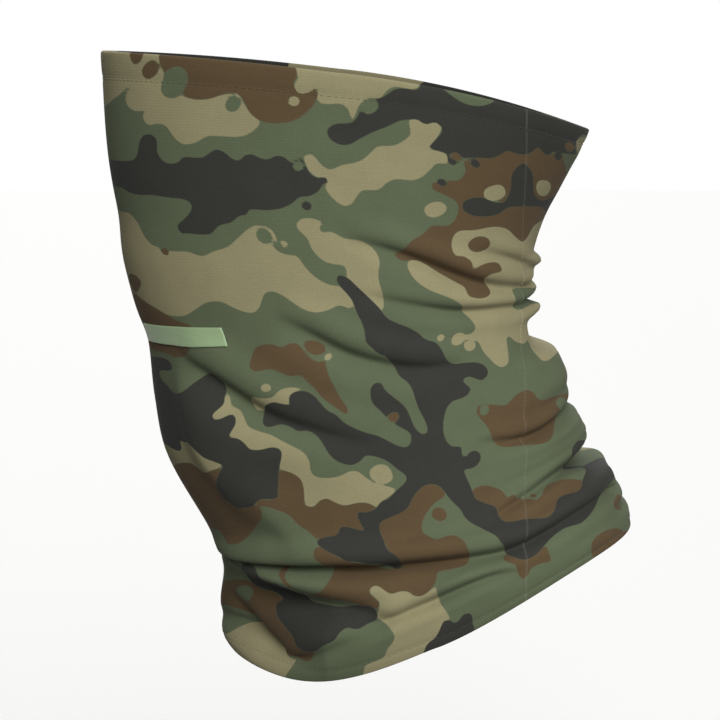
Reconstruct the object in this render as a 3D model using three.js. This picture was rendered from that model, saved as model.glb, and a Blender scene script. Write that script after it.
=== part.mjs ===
// A neck gaiter worn as a face mask: one printed knit panel sewn into a tube, in the shape it
// takes on a wearer, from over the nose and the back of the head down to the collar.
// Millimetres, +Z up. The wearer faces -Y, and the wearer's left is +X.
// The origin is the centre of the lower opening, where the neck comes out of the tube.
import * as THREE from "three";

// The flat cloth
const FLAT_GIRTH = 500; // once round the tube, unstretched
const FLAT_LENGTH = 290; // from the lower edge to the upper edge
const CLOTH = 0.8; // one layer of stretch knit
const GAP = 0.4; // clearance between neighbouring pieces
const THREAD = 0.5; // thickness of a line of sewing thread

// The worn shape: the tube's own rings, from the lower hem up. Each ring has its share of the
// cloth's length, the place of its front and back in the plane X = 0, its half width, how far
// its sides rise above the line from front to back, and how far that rise leans to the front.
const RINGS = [
  { at: 0.0, front: [-88, -25], back: [88, 28.5], half: 84, rise: -12, lean: 1.75 },
  { at: 0.08, front: [-94, -11], back: [86, 35], half: 87, rise: -12, lean: 1.6 },
  { at: 0.18, front: [-93, 9], back: [79, 50], half: 84, rise: -10, lean: 1.0 },
  { at: 0.3, front: [-99, 25.5], back: [66, 65], half: 78, rise: -6, lean: 0.5 },
  { at: 0.44, front: [-118, 60], back: [58, 88], half: 75, rise: -2, lean: 0 },
  { at: 0.54, front: [-123, 85], back: [49, 107], half: 74, rise: 0, lean: 0 },
  { at: 0.64, front: [-126, 113], back: [43, 125], half: 74, rise: 2, lean: 0 },
  { at: 0.75, front: [-134, 147], back: [44, 148], half: 74, rise: 4, lean: 0 },
  { at: 0.87, front: [-142, 188], back: [54, 176], half: 75, rise: 6, lean: -0.1 },
  { at: 1.0, front: [-145, 236], back: [68, 202], half: 77, rise: 8, lean: -0.2 },
];
const ROUNDING = 0.92; // under 1 squares an ellipse slightly, as cloth over a head
const EGG = 0.1; // how much narrower the face end is than the back end
const SEAM_Y = 37; // the seam lies in this plane, at the wearer's left rear

// The sewn details, measured on the flat cloth
const HEM_DEPTH = 12;
const HEM_LAYERS = 1; // the turned-in layer behind the tube's own
const STITCH_UP_HEM = 9; // from the edge to the stitch line
const STITCH_WIDTH = 0.6;
const SEAM_ALLOWANCE = 6; // both edges turned to one side
const SEAM_LAYERS = 2;
const OVERLOCK_WIDTH = 1;
const LABEL = { from: 140, to: 198, low: 182, high: 190.5, thickness: 0.4 };

const COLUMNS = 48; // facets round the tube
const ROWS = 24; // facets up the tube
const ARC_STEPS = 480; // how finely a ring is measured
const FLAT_EDGE = 0.1; // the least space between two facet lines

// A smooth curve through the rings' values, at a share of the cloth's length.
function alongTube(share, value) {
  let i = RINGS.findIndex((ring) => ring.at > share) - 1;
  if (i < 0) i = RINGS.length - 2;
  const slope = (k) =>
    (value(RINGS[k + 1]) - value(RINGS[k])) / (RINGS[k + 1].at - RINGS[k].at);
  const tangent = (k) => {
    if (k === 0) return slope(0);
    if (k === RINGS.length - 1) return slope(k - 1);
    return (slope(k - 1) + slope(k)) / 2;
  };
  const span = RINGS[i + 1].at - RINGS[i].at;
  const t = (share - RINGS[i].at) / span;
  const start = (2 * t ** 3 - 3 * t ** 2 + 1) * value(RINGS[i]);
  const end = (3 * t ** 2 - 2 * t ** 3) * value(RINGS[i + 1]);
  const leave = (t ** 3 - 2 * t ** 2 + t) * span * tangent(i);
  const arrive = (t ** 3 - t ** 2) * span * tangent(i + 1);
  return start + end + leave + arrive;
}

// One ring of the tube as a function of the angle from the back towards the wearer's left.
function ringAt(share) {
  const read = (value) => alongTube(share, value);
  const frontY = read((ring) => ring.front[0]);
  const frontZ = read((ring) => ring.front[1]);
  const backY = read((ring) => ring.back[0]);
  const backZ = read((ring) => ring.back[1]);
  const half = read((ring) => ring.half);
  const rise = read((ring) => ring.rise);
  const lean = read((ring) => ring.lean);
  const rounded = (n) => Math.sign(n) * Math.abs(n) ** ROUNDING;
  return (angle) => {
    const c = Math.cos(angle);
    const s = Math.sin(angle);
    return new THREE.Vector3(
      half * rounded(s) * (1 + EGG * c),
      (frontY + backY) / 2 + ((backY - frontY) / 2) * rounded(c),
      (frontZ + backZ) / 2 + ((backZ - frontZ) / 2) * c + rise * s * s * (1 - lean * c),
    );
  };
}

// The angle at which a ring crosses the seam's plane on the wearer's left.
function seamAngle(ring) {
  let low = 0;
  let high = Math.PI / 2;
  for (let i = 0; i < 40; i++) {
    const middle = (low + high) / 2;
    if (ring(middle).y > SEAM_Y) low = middle;
    else high = middle;
  }
  return low;
}

// The same ring measured by the cloth: a share of its girth from the seam, towards the left.
const measuredRings = new Map();
function measuredRing(share) {
  if (measuredRings.has(share)) return measuredRings.get(share);
  const ring = ringAt(share);
  const start = seamAngle(ring);
  const points = [];
  const lengths = [0];
  for (let i = 0; i <= ARC_STEPS; i++) {
    points.push(ring(start + (2 * Math.PI * i) / ARC_STEPS));
    if (i) lengths.push(lengths[i - 1] + points[i].distanceTo(points[i - 1]));
  }
  const girth = lengths[ARC_STEPS];
  const at = (part) => {
    const wanted = (part - Math.floor(part)) * girth;
    let i = 1;
    while (i < ARC_STEPS && lengths[i] < wanted) i++;
    const between = (wanted - lengths[i - 1]) / (lengths[i] - lengths[i - 1]);
    return points[i - 1].clone().lerp(points[i], between);
  };
  measuredRings.set(share, at);
  return at;
}

// A corner of the tube's facets, moved out along the cloth's own normal.
const corners = new Map();
function facetCorner(column, row, out) {
  const key = `${column % COLUMNS} ${row}`;
  if (!corners.has(key)) {
    const part = column / COLUMNS;
    const share = row / ROWS;
    const step = 0.01;
    const above = measuredRing(Math.min(share + step, 1))(part);
    const below = measuredRing(Math.max(share - step, 0))(part);
    const ahead = measuredRing(share)(part + step);
    const behind = measuredRing(share)(part - step);
    const normal = above.sub(below).cross(ahead.sub(behind)).normalize();
    corners.set(key, { point: measuredRing(share)(part), normal });
  }
  const { point, normal } = corners.get(key);
  return point.clone().addScaledVector(normal, out);
}

// A point of the worn cloth from its flat place: round from the seam, up from the lower edge,
// and out from the printed face. It lies on the tube's facets, so that layers stay parallel.
function clothPoint(round, up, out) {
  const acrossColumns = ((round / FLAT_GIRTH) * COLUMNS + COLUMNS) % COLUMNS;
  const acrossRows = (up / FLAT_LENGTH) * ROWS;
  const column = Math.floor(acrossColumns);
  const row = Math.min(Math.floor(acrossRows), ROWS - 1);
  const lower = facetCorner(column, row, out);
  lower.lerp(facetCorner(column + 1, row, out), acrossColumns - column);
  const upper = facetCorner(column, row + 1, out);
  upper.lerp(facetCorner(column + 1, row + 1, out), acrossColumns - column);
  return lower.lerp(upper, acrossRows - row);
}

// Where a band has its own facet lines: at its two ends and at the tube's lines between them.
function facetLines(from, to, spacing) {
  const lines = [from];
  for (let k = Math.floor(from / spacing + 1); k * spacing < to; k++)
    if (k * spacing - from > FLAT_EDGE && to - k * spacing > FLAT_EDGE) lines.push(k * spacing);
  lines.push(to);
  return lines;
}

// A closed solid of cloth or thread that follows the tube: round from one flat place to
// another, up from low to high, between two distances from the printed face. A band that goes
// all the way round has no ends.
function followingBand({ from, to, low, high, inner, outer }) {
  const rounds = facetLines(from, to, FLAT_GIRTH / COLUMNS);
  const ups = facetLines(low, high, FLAT_LENGTH / ROWS);
  const whole = to - from === FLAT_GIRTH;
  if (whole) rounds.pop();
  const across = rounds.length;
  const positions = [];
  for (const out of [outer, inner])
    for (const up of ups)
      for (const round of rounds) positions.push(...clothPoint(round, up, out).toArray());

  const vertex = (i, j, side) => (side * ups.length + j) * across + (i % across);
  const faces = [];
  const quad = (a, b, c, d) => faces.push(a, c, b, a, d, c);
  const columns = whole ? across : across - 1;
  const top = ups.length - 1;
  for (let i = 0; i < columns; i++) {
    for (let j = 0; j < top; j++) {
      quad(vertex(i, j, 0), vertex(i + 1, j, 0), vertex(i + 1, j + 1, 0), vertex(i, j + 1, 0));
      quad(vertex(i, j, 1), vertex(i, j + 1, 1), vertex(i + 1, j + 1, 1), vertex(i + 1, j, 1));
    }
    quad(vertex(i, 0, 1), vertex(i + 1, 0, 1), vertex(i + 1, 0, 0), vertex(i, 0, 0));
    quad(vertex(i, top, 0), vertex(i + 1, top, 0), vertex(i + 1, top, 1), vertex(i, top, 1));
  }
  for (let j = 0; j < top && !whole; j++) {
    quad(vertex(0, j, 1), vertex(0, j, 0), vertex(0, j + 1, 0), vertex(0, j + 1, 1));
    const end = columns;
    quad(vertex(end, j, 0), vertex(end, j, 1), vertex(end, j + 1, 1), vertex(end, j + 1, 0));
  }
  const geometry = new THREE.BufferGeometry();
  geometry.setAttribute("position", new THREE.Float32BufferAttribute(positions, 3));
  geometry.setIndex(faces);
  geometry.computeVertexNormals();
  return geometry;
}

const gaiter = new THREE.Group();
function addPiece(name, material, band) {
  const mesh = new THREE.Mesh(followingBand(band), material);
  mesh.name = name;
  gaiter.add(mesh);
}

const printedKnit = new THREE.MeshStandardMaterial({ color: 0x5d674e, roughness: 0.9 });
const sewingThread = new THREE.MeshStandardMaterial({ color: 0x4a5340, roughness: 0.8 });
const bondedLabel = new THREE.MeshStandardMaterial({ color: 0x96a883, roughness: 0.7 });
const wholeRound = { from: 0, to: FLAT_GIRTH };

// The tube: one panel, its two side edges meeting at the seam.
addPiece("knit_tube", printedKnit, {
  ...wholeRound,
  low: 0,
  high: FLAT_LENGTH,
  inner: -CLOTH,
  outer: 0,
});

// The hems: each edge is turned in once and stitched down, so a second layer lies inside.
const hemOuter = -CLOTH - GAP;
const hemInner = hemOuter - HEM_LAYERS * CLOTH;
const hem = { ...wholeRound, inner: hemInner, outer: hemOuter };
addPiece("top_hem", printedKnit, {
  ...hem,
  low: FLAT_LENGTH - HEM_DEPTH,
  high: FLAT_LENGTH,
});
addPiece("bottom_hem", printedKnit, { ...hem, low: 0, high: HEM_DEPTH });

// One line of thread round each hem, on the printed face.
const outsideThread = { inner: GAP, outer: GAP + THREAD };
const hemStitches = { ...wholeRound, ...outsideThread };
addPiece("top_hem_stitching", sewingThread, {
  ...hemStitches,
  low: FLAT_LENGTH - STITCH_UP_HEM - STITCH_WIDTH,
  high: FLAT_LENGTH - STITCH_UP_HEM,
});
addPiece("bottom_hem_stitching", sewingThread, {
  ...hemStitches,
  low: STITCH_UP_HEM,
  high: STITCH_UP_HEM + STITCH_WIDTH,
});

// The back seam: the allowance lies flat inside, its raw edges bound by overlock thread, and a
// line of thread runs down the joint on the printed face. It stops short of the hems.
const betweenHems = { low: HEM_DEPTH + 1, high: FLAT_LENGTH - HEM_DEPTH - 1 };
const seamInner = hemOuter - SEAM_LAYERS * CLOTH;
addPiece("seam_allowance", printedKnit, {
  ...betweenHems,
  from: 0,
  to: SEAM_ALLOWANCE,
  inner: seamInner,
  outer: hemOuter,
});
const overlockFrom = SEAM_ALLOWANCE + GAP;
addPiece("overlock_thread", sewingThread, {
  ...betweenHems,
  from: overlockFrom,
  to: overlockFrom + OVERLOCK_WIDTH,
  inner: seamInner,
  outer: hemOuter,
});
addPiece("seam_stitching", sewingThread, {
  low: STITCH_UP_HEM + STITCH_WIDTH + 1,
  high: FLAT_LENGTH - STITCH_UP_HEM - STITCH_WIDTH - 1,
  from: -STITCH_WIDTH / 2,
  to: STITCH_WIDTH / 2,
  ...outsideThread,
});

// The blank label, bonded to the printed face on the wearer's left, below the mouth.
const { thickness, ...labelPlace } = LABEL;
addPiece("label", bondedLabel, { ...labelPlace, inner: GAP, outer: GAP + thickness });

export default gaiter;
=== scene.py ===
"""A neck gaiter worn as a face mask: printed stretch knit sewn into a tube, shown as it sits on a
wearer from over the nose and the back of the head down to the collar.

The wearer faces -Y, and +X is the wearer's left. A place on the cloth is given in millimetres on
the flat panel: round, from the back seam towards the wearer's left and then the front, and up,
from the lower edge. Finished meshes are in metres.
"""
import math

import bpy
import numpy as np
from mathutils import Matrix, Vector


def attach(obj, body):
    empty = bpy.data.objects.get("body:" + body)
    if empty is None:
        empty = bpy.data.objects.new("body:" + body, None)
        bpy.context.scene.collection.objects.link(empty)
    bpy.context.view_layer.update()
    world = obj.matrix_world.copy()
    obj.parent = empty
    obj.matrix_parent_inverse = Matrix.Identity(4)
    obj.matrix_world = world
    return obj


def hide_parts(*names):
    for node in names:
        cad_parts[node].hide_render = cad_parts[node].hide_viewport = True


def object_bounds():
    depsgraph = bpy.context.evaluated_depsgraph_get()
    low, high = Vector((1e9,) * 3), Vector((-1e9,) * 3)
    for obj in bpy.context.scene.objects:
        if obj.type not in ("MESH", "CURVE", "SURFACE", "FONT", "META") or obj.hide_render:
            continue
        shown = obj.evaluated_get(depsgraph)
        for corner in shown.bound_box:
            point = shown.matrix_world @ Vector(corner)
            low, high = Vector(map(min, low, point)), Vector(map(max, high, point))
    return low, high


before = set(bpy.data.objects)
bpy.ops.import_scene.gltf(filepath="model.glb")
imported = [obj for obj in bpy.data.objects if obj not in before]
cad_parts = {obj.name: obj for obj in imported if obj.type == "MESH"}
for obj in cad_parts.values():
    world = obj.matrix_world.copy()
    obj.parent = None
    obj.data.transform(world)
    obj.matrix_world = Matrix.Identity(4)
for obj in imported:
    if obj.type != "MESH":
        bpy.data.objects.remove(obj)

cad_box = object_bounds()
low_corner, high_corner = cad_box

# --- The studio ---------------------------------------------------------------------------------
# A long lens at the wearer's left, level with the mask's top edge, and a pale floor well below it.
# Soft light all round is strongest above the nape, on the camera's side. One broad light comes
# from over the camera, and another lights the far side.

CAMERA_DISTANCE = 1.15
CAMERA_HEIGHT = 0.24
LENS = 130.7  # millimetres, on a sensor 36 mm wide
FLOOR_DROP = 0.30  # below the mask's lowest point
FLOOR_RADIUS = 9.0
FLOOR_GLOW = 0.06
LIGHT_SPREAD = 34  # degrees across, so that shadows are soft
AIM_SHIFT = Vector((0, -0.0036, -0.003))  # from the middle of the mask
BRIGHTEST_WAY = (0.54, 0.58, 0.61)  # where most of the soft light comes from


def linear(hex_colour):
    """An sRGB hex colour, such as "5d674e", as the linear values that shaders take."""
    values = []
    for i in (0, 2, 4):
        c = int(hex_colour[i : i + 2], 16) / 255
        values.append(c / 12.92 if c <= 0.04045 else ((c + 0.055) / 1.055) ** 2.4)
    return values + [1.0]


def add_node(tree, kind, inputs=None, **settings):
    """A new node of that kind. An input is a value, or the output socket that feeds it."""
    new = tree.nodes.new(kind)
    for name, value in settings.items():
        setattr(new, name, value)
    for key, value in (inputs or {}).items():
        if isinstance(value, bpy.types.NodeSocket):
            tree.links.new(value, new.inputs[key])
        else:
            new.inputs[key].default_value = value
    return new


def new_material(name):
    """An empty node material, with its tree and its output node."""
    material = bpy.data.materials.new(name)
    material.use_nodes = True
    material.node_tree.nodes.clear()
    output = add_node(material.node_tree, "ShaderNodeOutputMaterial")
    return material, material.node_tree, output


aim = (low_corner + high_corner) / 2 + AIM_SHIFT
camera = bpy.data.objects.new("camera", bpy.data.cameras.new("camera"))
camera.data.lens = LENS
camera.location = (CAMERA_DISTANCE, aim.y, CAMERA_HEIGHT)
camera.rotation_mode = "QUATERNION"
camera.rotation_quaternion = (aim - camera.location).to_track_quat("-Z", "Y")
bpy.context.collection.objects.link(camera)
bpy.context.scene.camera = camera
bpy.context.scene.view_settings.view_transform = "Standard"

world = bpy.data.worlds.new("soft_room")
world.use_nodes = True
room = world.node_tree
room.nodes.clear()
way = add_node(room, "ShaderNodeTexCoord").outputs["Generated"]
towards_light = add_node(
    room, "ShaderNodeVectorMath", {0: way, 1: BRIGHTEST_WAY}, operation="DOT_PRODUCT"
).outputs["Value"]
brightness = add_node(
    room, "ShaderNodeMapRange",
    {"Value": towards_light, "From Min": -0.6, "From Max": 1.0, "To Min": 0.02, "To Max": 0.43},
)
soft_light = add_node(
    room, "ShaderNodeBackground", {"Color": linear("ffffff"), "Strength": brightness.outputs[0]}
)
backdrop = add_node(room, "ShaderNodeBackground", {"Color": linear("ffffff"), "Strength": 1.0})
seen = add_node(room, "ShaderNodeLightPath").outputs["Is Camera Ray"]
room_light = add_node(
    room, "ShaderNodeMixShader", {0: seen, 1: soft_light.outputs[0], 2: backdrop.outputs[0]}
)
add_node(room, "ShaderNodeOutputWorld", {"Surface": room_light.outputs[0]})
bpy.context.scene.world = world

for name, energy, direction in (
    ("broad_light", 2.6, (-0.86, -0.14, -0.48)),
    ("far_light", 1.9, (0.84, 0.10, -0.50)),
):
    sun = bpy.data.objects.new(name, bpy.data.lights.new(name, "SUN"))
    sun.data.energy = energy
    sun.data.angle = math.radians(LIGHT_SPREAD)
    sun.rotation_mode = "QUATERNION"
    sun.rotation_quaternion = Vector(direction).to_track_quat("-Z", "Y")
    bpy.context.collection.objects.link(sun)

bpy.ops.mesh.primitive_circle_add(vertices=96, radius=FLOOR_RADIUS, fill_type="NGON")
floor = bpy.context.object
floor.name = "floor"
floor.location.z = low_corner.z - FLOOR_DROP
paint, tree, output = new_material("matt_white_floor_paint")
surface = add_node(
    tree, "ShaderNodeBsdfPrincipled",
    {"Base Color": linear("f2f2f0"), "Roughness": 0.9, "Emission Color": linear("ffffff"),
     "Emission Strength": FLOOR_GLOW},
)
tree.links.new(surface.outputs[0], output.inputs["Surface"])
floor.data.materials.append(paint)
floor.visible_diffuse = False  # the floor throws no light up at the mask

# --- The worn cloth -----------------------------------------------------------------------------
# The knit is cut as one rectangle and stretched over the head. These rings are its smooth worn
# shape: the nose and the back of the skull at the top, the chin, the nape, the roll at the neck.

MM = 0.001
FLAT_GIRTH = 500.0
FLAT_LENGTH = 290.0
KNIT = 0.8  # thickness of one layer
ROUNDING = 0.92  # under 1 squares the rings slightly
EGG = 0.1  # how much narrower the face end is than the back end
SEAM_Y = 37.0  # the back seam lies in this plane, at the wearer's left rear

# share of the cloth's length, front y, front z, back y, back z, half width, side rise, lean
RINGS = np.array(
    [
        (0.00, -88, -25.0, 88, 28.5, 84, -12.8, 1.6),
        (0.08, -94, -11.0, 86, 35, 87, -12, 1.6),
        (0.18, -93, 9.0, 79, 50, 84, -10, 1.0),
        (0.30, -99, 25.5, 66, 65, 78, -6, 0.5),
        (0.44, -118, 60.0, 58, 88, 75, -2, 0.0),
        (0.54, -123, 85.0, 49, 107, 74, 0, 0.0),
        (0.64, -126, 113.0, 43, 125, 74, 2, 0.0),
        (0.75, -134, 147.0, 44, 148, 74, 4, 0.0),
        (0.87, -142, 188.0, 54, 176, 75, 6, -0.1),
        (1.00, -145, 236.0, 68, 202, 77, 8, -0.2),
    ]
)

# The worn shape is worked out once, at these places on the cloth, and looked up between them.
TABLE_COLUMNS = 640
TABLE_STEP = 0.8  # from row to row
TABLE_MARGIN = 3.0  # how far the rows go on past each edge
TABLE_ROUND = np.linspace(0, FLAT_GIRTH, TABLE_COLUMNS + 1)
TABLE_UP = np.arange(-TABLE_MARGIN, FLAT_LENGTH + TABLE_MARGIN + TABLE_STEP / 2, TABLE_STEP)
RING_STEPS = 1440  # straight steps that measure the way round a ring
QUARTER_STEPS = 2000  # places tried for the seam, from the back to the side


def along_tube(share):
    """The smooth curve through the rings' values at one share of the cloth's length."""
    shares, values = RINGS[:, 0], RINGS[:, 1:]
    slopes = np.diff(values, axis=0) / np.diff(shares)[:, None]
    tangents = np.concatenate([slopes[:1], (slopes[1:] + slopes[:-1]) / 2, slopes[-1:]])
    i = int(np.clip(np.searchsorted(shares, share, side="right") - 1, 0, len(shares) - 2))
    span = shares[i + 1] - shares[i]
    t = (share - shares[i]) / span
    start = (2 * t**3 - 3 * t**2 + 1) * values[i] + (t**3 - 2 * t**2 + t) * span * tangents[i]
    return start + (3 * t**2 - 2 * t**3) * values[i + 1] + (t**3 - t**2) * span * tangents[i + 1]


def smooth_ring(share):
    """One ring's points at TABLE_ROUND, evenly by the cloth's girth from the seam, and how far
    round the middle of the wearer's back is."""
    front_y, front_z, back_y, back_z, half, rise, lean = along_tube(share)

    def at(angle):
        c, s = np.cos(angle), np.sin(angle)
        square_c, square_s = (np.sign(n) * np.abs(n) ** ROUNDING for n in (c, s))
        x = half * square_s * (1 + EGG * c)
        y = (front_y + back_y) / 2 + (back_y - front_y) / 2 * square_c
        z = (front_z + back_z) / 2 + (back_z - front_z) / 2 * c + rise * s**2 * (1 - lean * c)
        return np.stack([x, y, z], -1)

    quarter = np.linspace(0, math.pi / 2, QUARTER_STEPS)
    seam_angle = np.interp(-SEAM_Y, -at(quarter)[:, 1], quarter)
    angles = np.linspace(seam_angle, seam_angle + 2 * math.pi, RING_STEPS + 1)
    steps = np.linalg.norm(np.diff(at(angles), axis=0), axis=1)
    lengths = np.concatenate([[0], np.cumsum(steps)])
    girth = lengths[-1]
    wanted = TABLE_ROUND / FLAT_GIRTH * girth
    back_middle = np.interp(2 * math.pi, angles, lengths) / girth * FLAT_GIRTH - FLAT_GIRTH
    return at(np.interp(wanted, lengths, angles)), back_middle


def outward(grid):
    """The outward unit normal at each point of a grid of rows up the tube."""
    around = np.roll(grid[:, :-1], -1, 1) - np.roll(grid[:, :-1], 1, 1)
    around = np.concatenate([around, around[:, :1]], 1)
    normal = np.cross(np.gradient(grid, axis=0), around)
    return normal / np.linalg.norm(normal, axis=-1, keepdims=True)


def look_up(table, round_, up):
    """A table's value at places on the cloth, between its nearest four entries."""
    across = np.mod(np.asarray(round_, float), FLAT_GIRTH) / FLAT_GIRTH * TABLE_COLUMNS
    rows = (np.asarray(up, float) - TABLE_UP[0]) / (TABLE_UP[1] - TABLE_UP[0])
    i = np.clip(across.astype(int), 0, TABLE_COLUMNS - 1)
    j = np.clip(rows.astype(int), 0, len(TABLE_UP) - 2)
    extra = (1,) * (table.ndim - 2)
    a = (across - i).reshape(across.shape + extra)
    b = (rows - j).reshape(rows.shape + extra)
    lower = table[j, i] * (1 - a) + table[j, i + 1] * a
    upper = table[j + 1, i] * (1 - a) + table[j + 1, i + 1] * a
    return lower * (1 - b) + upper * b


measured = [smooth_ring(up / FLAT_LENGTH) for up in TABLE_UP]
smooth_cloth = np.stack([points for points, _ in measured])
back_middles = np.array([middle for _, middle in measured])[:, None]
smooth_out = outward(smooth_cloth)

# --- Folds --------------------------------------------------------------------------------------
# Worn cloth creases where it has to turn: short tucks at the nape, soft pulls from the jaw, and
# the roll that it makes over the collar. Each crease is a valley with the cloth swelling over it.

# route as (round, up, depth), width, and how far the cloth above hangs down over the valley
CREASES = [
    ([(86, 225, 0), (76, 223, 1.4), (64, 219.5, 2.8), (52, 214.5, 3.6), (40, 209, 3.6),
      (30, 205, 3.0), (18, 202.5, 2.2), (5, 200.8, 1.8), (-10, 199, 2.0), (-30, 205, 3.0),
      (-60, 207, 3.6)], 3.6, 1.0),
    ([(34, 222, 0), (20, 219.5, 0.9), (10, 217.3, 1.4), (0, 215, 1.6), (-12, 212, 1.0),
      (-25, 210, 0)], 3.0, 0.6),
    ([(86, 202, 0), (72, 198, 1.2), (58, 194.5, 2.0), (46, 191.8, 2.6), (32, 191, 2.6),
      (18, 190.8, 2.2), (5, 190, 2.2), (-8, 190.5, 2.4), (-25, 190.5, 1.8),
      (-60, 190, 1.6)], 3.0, 0.8),
    ([(122, 193, 0), (112, 188, 1.6), (102, 182.5, 3.0), (92, 176.5, 3.6), (82, 172, 3.4),
      (70, 167.5, 3.0), (58, 164, 2.6), (46, 162.5, 1.6), (32, 162, 0)], 4.2, 0.6),
    ([(172, 181, 0), (160, 174, 2.2), (150, 169.5, 3.2), (140, 164, 4.0), (130, 158, 4.2),
      (120, 151.5, 3.8), (108, 145, 3.0), (96, 140, 2.4), (82, 134, 1.8), (64, 127, 0)], 5.0, 0.8),
    ([(24, 121, 0), (15, 118, 1.6), (5, 115.5, 2.6), (-5, 114.5, 3.0), (-18, 115.5, 3.2),
      (-30, 118, 3.0), (-60, 121, 2.6)], 3.2, 1.0),
    ([(18, 73, 0), (10, 77.2, 1.4), (4, 79.3, 1.8), (-4, 80.8, 2.0), (-14, 83.5, 3.0),
      (-24, 84.5, 4.0), (-34, 84.5, 5.0), (-50, 83, 5.0), (-75, 82, 4.4),
      (-120, 82, 4.0)], 3.4, 0.8),
    ([(-30, 83, 0), (-44, 82, 2.0), (-58, 81.5, 3.8), (-75, 81, 4.6), (-120, 81, 4.6)], 6.4, 0.0),
    ([(-52, 36, 0), (-66, 34.5, 1.6), (-82, 34, 2.4), (-120, 34, 2.4)], 3.0, 0.4),
    ([(-60, 50, 3.2), (-30, 51, 3.2), (-20, 50, 3.2), (-10, 49, 3.4), (0, 48.3, 3.6),
      (10, 49.8, 3.8), (20, 54, 4.4), (30, 58, 5.0), (40, 61.5, 5.6), (50, 64, 6.2),
      (60, 66, 6.8), (70, 68.5, 7.0), (80, 71, 7.0), (90, 72.5, 6.8), (100, 73.3, 6.4),
      (113, 74, 5.6), (125, 74, 4.8), (138, 73, 3.8), (150, 71.5, 2.4), (160, 70, 1.2),
      (172, 69, 0)], 4.8, 4.0),
    ([(2, 29, 0), (9, 34.5, 1.6), (14, 37, 2.6), (24, 38.3, 3.0), (34, 37.3, 3.0), (44, 35.3, 2.8),
      (54, 33.5, 2.2), (62, 33.5, 0.8), (72, 34, 0)], 3.2, 0.6),
    ([(50, 32, 0), (58, 36, 2.0), (66, 42, 3.0), (76, 46.5, 3.8), (88, 49.5, 4.2), (100, 53, 4.0),
      (112, 58, 3.4), (124, 63, 2.6), (138, 67, 1.6), (155, 69, 0)], 5.2, 0.8),
    ([(58, 29, 0), (72, 26, 1.4), (84, 21, 1.8), (96, 14, 1.4), (108, 8, 0)], 4.4, 0.0),
    ([(150, 40, 0), (140, 36, 1.8), (128, 30, 2.4), (114, 22, 2.0), (100, 16, 0)], 5.0, 0.0),
    ([(78, 50, 0), (90, 50, 2.4), (104, 51, 4.8), (120, 53, 5.6), (138, 56, 3.6), (150, 58, 1.2),
      (160, 59, 0)], 10.0, 0.0),
]

# route as (round, up, height), and how far the swell reaches above and below the route: the
# corner of the jaw, the cheek beside it, and a hollow under the roll at the chin, whose heights
# are negative because the cloth lies further in there
RIDGES = [
    ([(172, 188, 0), (166, 178, 1.6), (158, 162, 3.4), (150, 147, 4.6), (141, 133, 5.0),
      (131, 119, 4.6), (121, 106, 3.0), (108, 94, 0)], 17.0, 7.5),
    ([(122, 118, 0), (113, 106, 2.0), (104, 95, 2.4), (94, 84, 1.4), (86, 76, 0)], 10.0, 6.0),
    ([(80, 14, 0), (98, 15, -6.4), (116, 17, -13.6), (134, 19, -13.6), (148, 22, -4.6),
      (158, 24, 0)], 25.0, 13.0),
]

# swellings as round, up, reach round, reach up, height: the lumps behind the nape and shoulders,
# the hollows between them, whose heights are negative, and the bridge of the nose
SWELLINGS = [
    (-50, 268.0, 60, 24, 1.5),
    (-38, 214.3, 26, 3.2, 3.4),
    (-36, 200.5, 26, 6.5, 2.6),
    (-36, 183.0, 24, 4.2, 4.6),
    (-38, 168.5, 24, 11.5, -4.8),
    (-38, 143.5, 34, 13.5, 5.0),
    (-40, 102.0, 40, 8.5, 4.0),
    (-84, 77.5, 34, 10.5, -9.0),
    (-42, 66.0, 46, 12, 1.4),
    (-80, 20.0, 40, 9.0, 0.8),
    (143, 3.0, 26, 12, 7.0),
    (220, 208.0, 60, 20, 2.6),
]

# a crease across its line, in widths of the crease and shares of its depth
VALLEY_ABOVE, VALLEY_BELOW = 0.62, 1.25  # how wide the valley is on each side, steeper above
LIP_HEIGHT, LIP_MIDDLE, LIP_WIDTH = 0.55, 1.8, 1.2  # the cloth that swells over the valley
SILL_HEIGHT, SILL_MIDDLE, SILL_WIDTH = 0.22, -3.0, 1.3  # and the lower swell under it
HANG_MIDDLE, HANG_WIDTH = 1.0, 0.9  # the cloth that hangs down over the valley
CREASE_REACH = 6  # nothing moves further away than this

ROUTE_STEPS = 6  # short steps between two points of a route
ROUTE_PASSES = 8  # how often its corners are rounded
RIDGE_REACH = 3  # in reaches above the route

HEM_STITCH = 9.0  # from each edge to its line of stitches
HEM_SWELL = 0.2  # how far the doubled edge stands proud
TUCK = 0.2  # how far the stitches pull the cloth in
TUCK_WIDTH = 1.3
CALM_EDGE = 16.0  # folds die out this near the hems
EDGE_FOLD = 0.35  # how much of a fold is left at the very edge
WANDER = 7.0  # how far folds on the right side lie from their twins, at most
WANDER_UP = 0.6  # how much of that is up the cloth


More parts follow.
